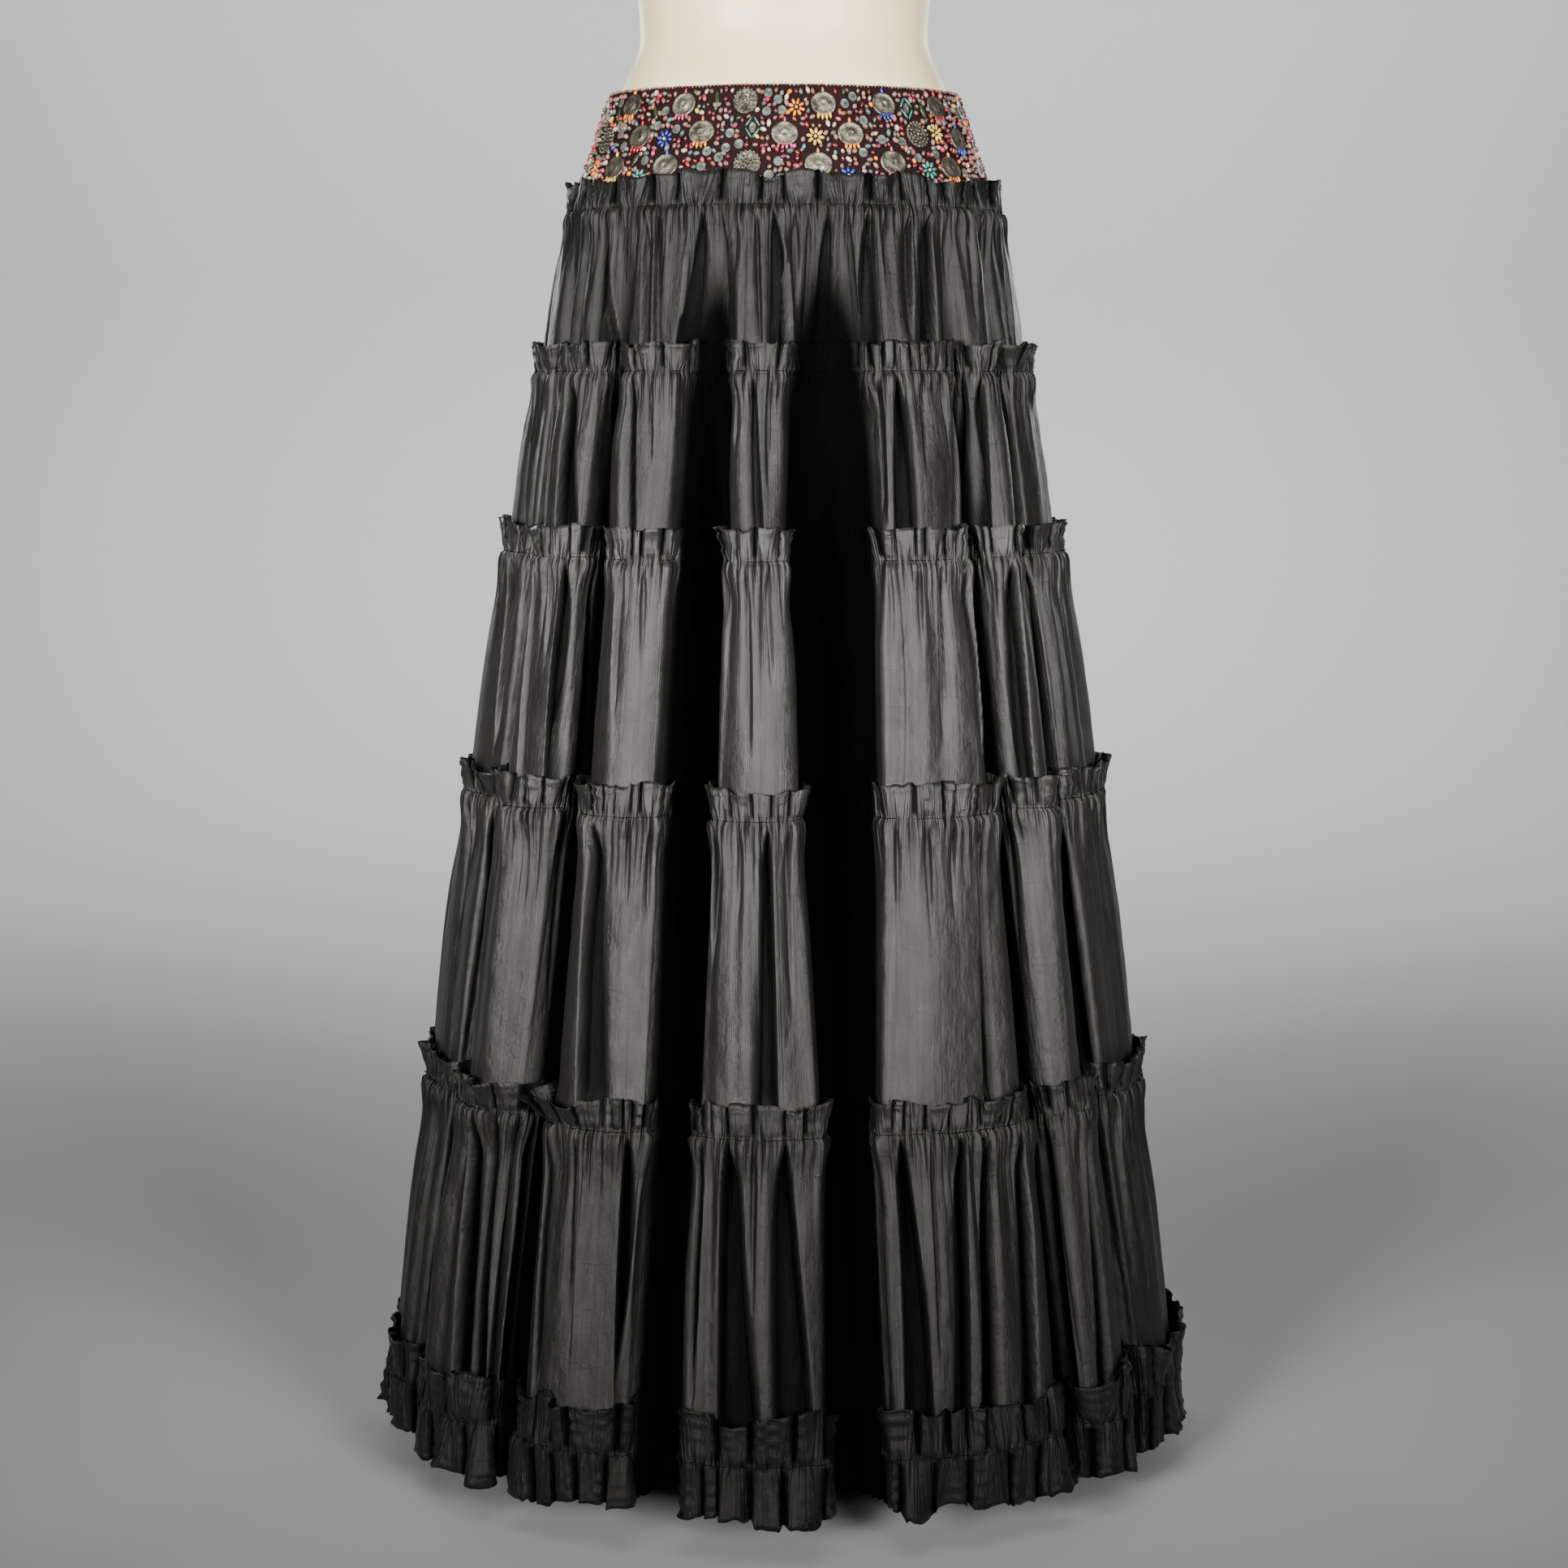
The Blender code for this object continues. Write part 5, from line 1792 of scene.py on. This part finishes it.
def closed_loft(name, rings, material, node):
    """A closed smooth solid from rings of points, capped at both ends."""
    points = np.concatenate(rings)
    sides = len(rings[0])
    faces = [tuple(reversed(range(sides)))]
    for low in range(0, sides * (len(rings) - 1), sides):
        for side in range(sides):
            after = (side + 1) % sides
            faces.append((low + side, low + after, low + sides + after, low + sides + side))
    faces.append(tuple(range(len(points) - sides, len(points))))
    mesh = bpy.data.meshes.new(name)
    mesh.from_pydata(points.tolist(), [], faces)
    mesh.shade_smooth()
    mesh.polygons[0].use_smooth = False
    mesh.polygons[len(faces) - 1].use_smooth = False
    mesh.materials.append(material)
    return add_piece(mesh, node)


def oval_ring(z, half_width, front, back):
    """A closed ring of points, with its own depth to the front and to the back."""
    azimuth = np.linspace(-0.5 * math.pi, 1.5 * math.pi, FORM_SIDES, endpoint=False)
    depth = np.where(np.cos(azimuth) > 0.0, front, back)
    x = half_width * np.sin(azimuth)
    return np.stack([x, -depth * np.cos(azimuth), np.full(FORM_SIDES, z)], axis=1)


def form_rings():
    """Rings up the form, with rounded edges at the neck and the bottom."""
    places = np.array([ring.z for ring in FORM_RINGS])
    heights = []
    for low, high in zip(places, places[1:]):
        heights.extend(np.linspace(low, high, FORM_STEPS, endpoint=False))
    heights = np.array(heights + [places[-1]])
    sizes = []
    for name in ("half_width", "front", "back"):
        values = np.array([getattr(ring, name) for ring in FORM_RINGS])
        sizes.append(smooth_through(places, values, heights))
    inset = EDGE_ROUND * (1.0 - np.sqrt(np.clip((places[-1] - heights) / EDGE_ROUND, 0.0, 1.0)))
    sizes = [size - inset for size in sizes]
    return [oval_ring(z, *row) for z, row in zip(heights, zip(*sizes))]


form_piece = closed_loft("form_shell", form_rings(), cream_shell, "form_torso")
print("form, metres tall:", round(FORM_RINGS[-1].z - FORM_RINGS[0].z, 3))

# %% [markdown]
# ## The stand
# The base is a flat steel plate with a rounded upper edge, and the pole a steel tube that goes up
# into the form. Both are round, so a lathe or a press makes them, and rings of points serve here.

# %% Turn the pole and the base
BASE_RADIUS = 0.140
BASE_HEIGHT = 0.007
BASE_ROUND = 0.0022
BASE_BEVEL = 0.0006
ROUND_STEPS = 4
POLE_RADIUS = 0.0125
POLE_RINGS = 12
STAND_SIDES = 96


def round_ring(radius, z):
    """A closed ring of points round the pole's axis."""
    azimuth = np.linspace(0.0, 2.0 * math.pi, STAND_SIDES, endpoint=False)
    level = np.full(STAND_SIDES, z)
    return np.stack([radius * np.cos(azimuth), radius * np.sin(azimuth), level], axis=1)


base_rings = [round_ring(BASE_RADIUS - BASE_BEVEL, 0.0), round_ring(BASE_RADIUS, BASE_BEVEL)]
for step in range(ROUND_STEPS + 1):
    turn = math.radians(90.0 * step / ROUND_STEPS)
    radius = BASE_RADIUS - BASE_ROUND * (1.0 - math.cos(turn))
    base_rings.append(round_ring(radius, BASE_HEIGHT - BASE_ROUND * (1.0 - math.sin(turn))))
closed_loft("stand_base_plate", base_rings, base_steel, "stand_base")
pole_low, pole_high = (corner[2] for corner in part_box("stand_pole"))
pole_rings = [round_ring(POLE_RADIUS, z) for z in np.linspace(pole_low, pole_high, POLE_RINGS)]
closed_loft("stand_pole_tube", pole_rings, pole_steel, "stand_pole")
print("pole, metres tall:", round(pole_high - pole_low, 3))

# %% [markdown]
# ## The cut
# Before it was gathered, each strip was a plain flat length of cloth. The table gives one half
# of each: its length along the seam, with all that the folds and the gathers take up, and its
# height from the turned hem inside the ruffle down to the next seam.

Cut = namedtuple("Cut", "name width length above")
CUTS = [
    Cut("tier_1", 0.80, 0.153, "yoke"),
    Cut("tier_2", 1.20, 0.168, "tier_1"),
    Cut("tier_3", 1.65, 0.220, "tier_2"),
    Cut("tier_4", 1.85, 0.262, "tier_3"),
    Cut("tier_5", 2.05, 0.268, "tier_4"),
    Cut("flounce", 2.00, 0.093, "tier_5"),
]


def surface(piece):
    """A piece's area in square metres."""
    return sum(face.area for face in piece.data.polygons)


sheet_names = {"yoke": {side: piece.name for side, piece in yoke_pieces.items()}}
for side, piece in yoke_pieces.items():
    print(piece.name, "area, square metres:", round(surface(piece), 4))
for cut in CUTS:
    sheet_names[cut.name] = {}
    for side, piece in zip(("front", "back"), cloth_pieces[cut.name]):
        sheet_names[cut.name][side] = piece.name
        share = surface(piece) / (cut.width * cut.length)
        print(piece.name, "area, square metres:", round(surface(piece), 4), "share:", round(share, 2))

# %% [markdown]
# ## Measure and finish
# The dressed model's triangles are counted, in all and in its largest piece.

# %% Write down the sizes
counts = {}
for made in bpy.context.scene.objects:
    if made.type == "MESH" and not made.hide_render:
        counts[made.name] = sum(len(face.vertices) - 2 for face in made.data.polygons)
print("triangles:", sum(counts.values()), "most in one piece:", max(counts.values()))
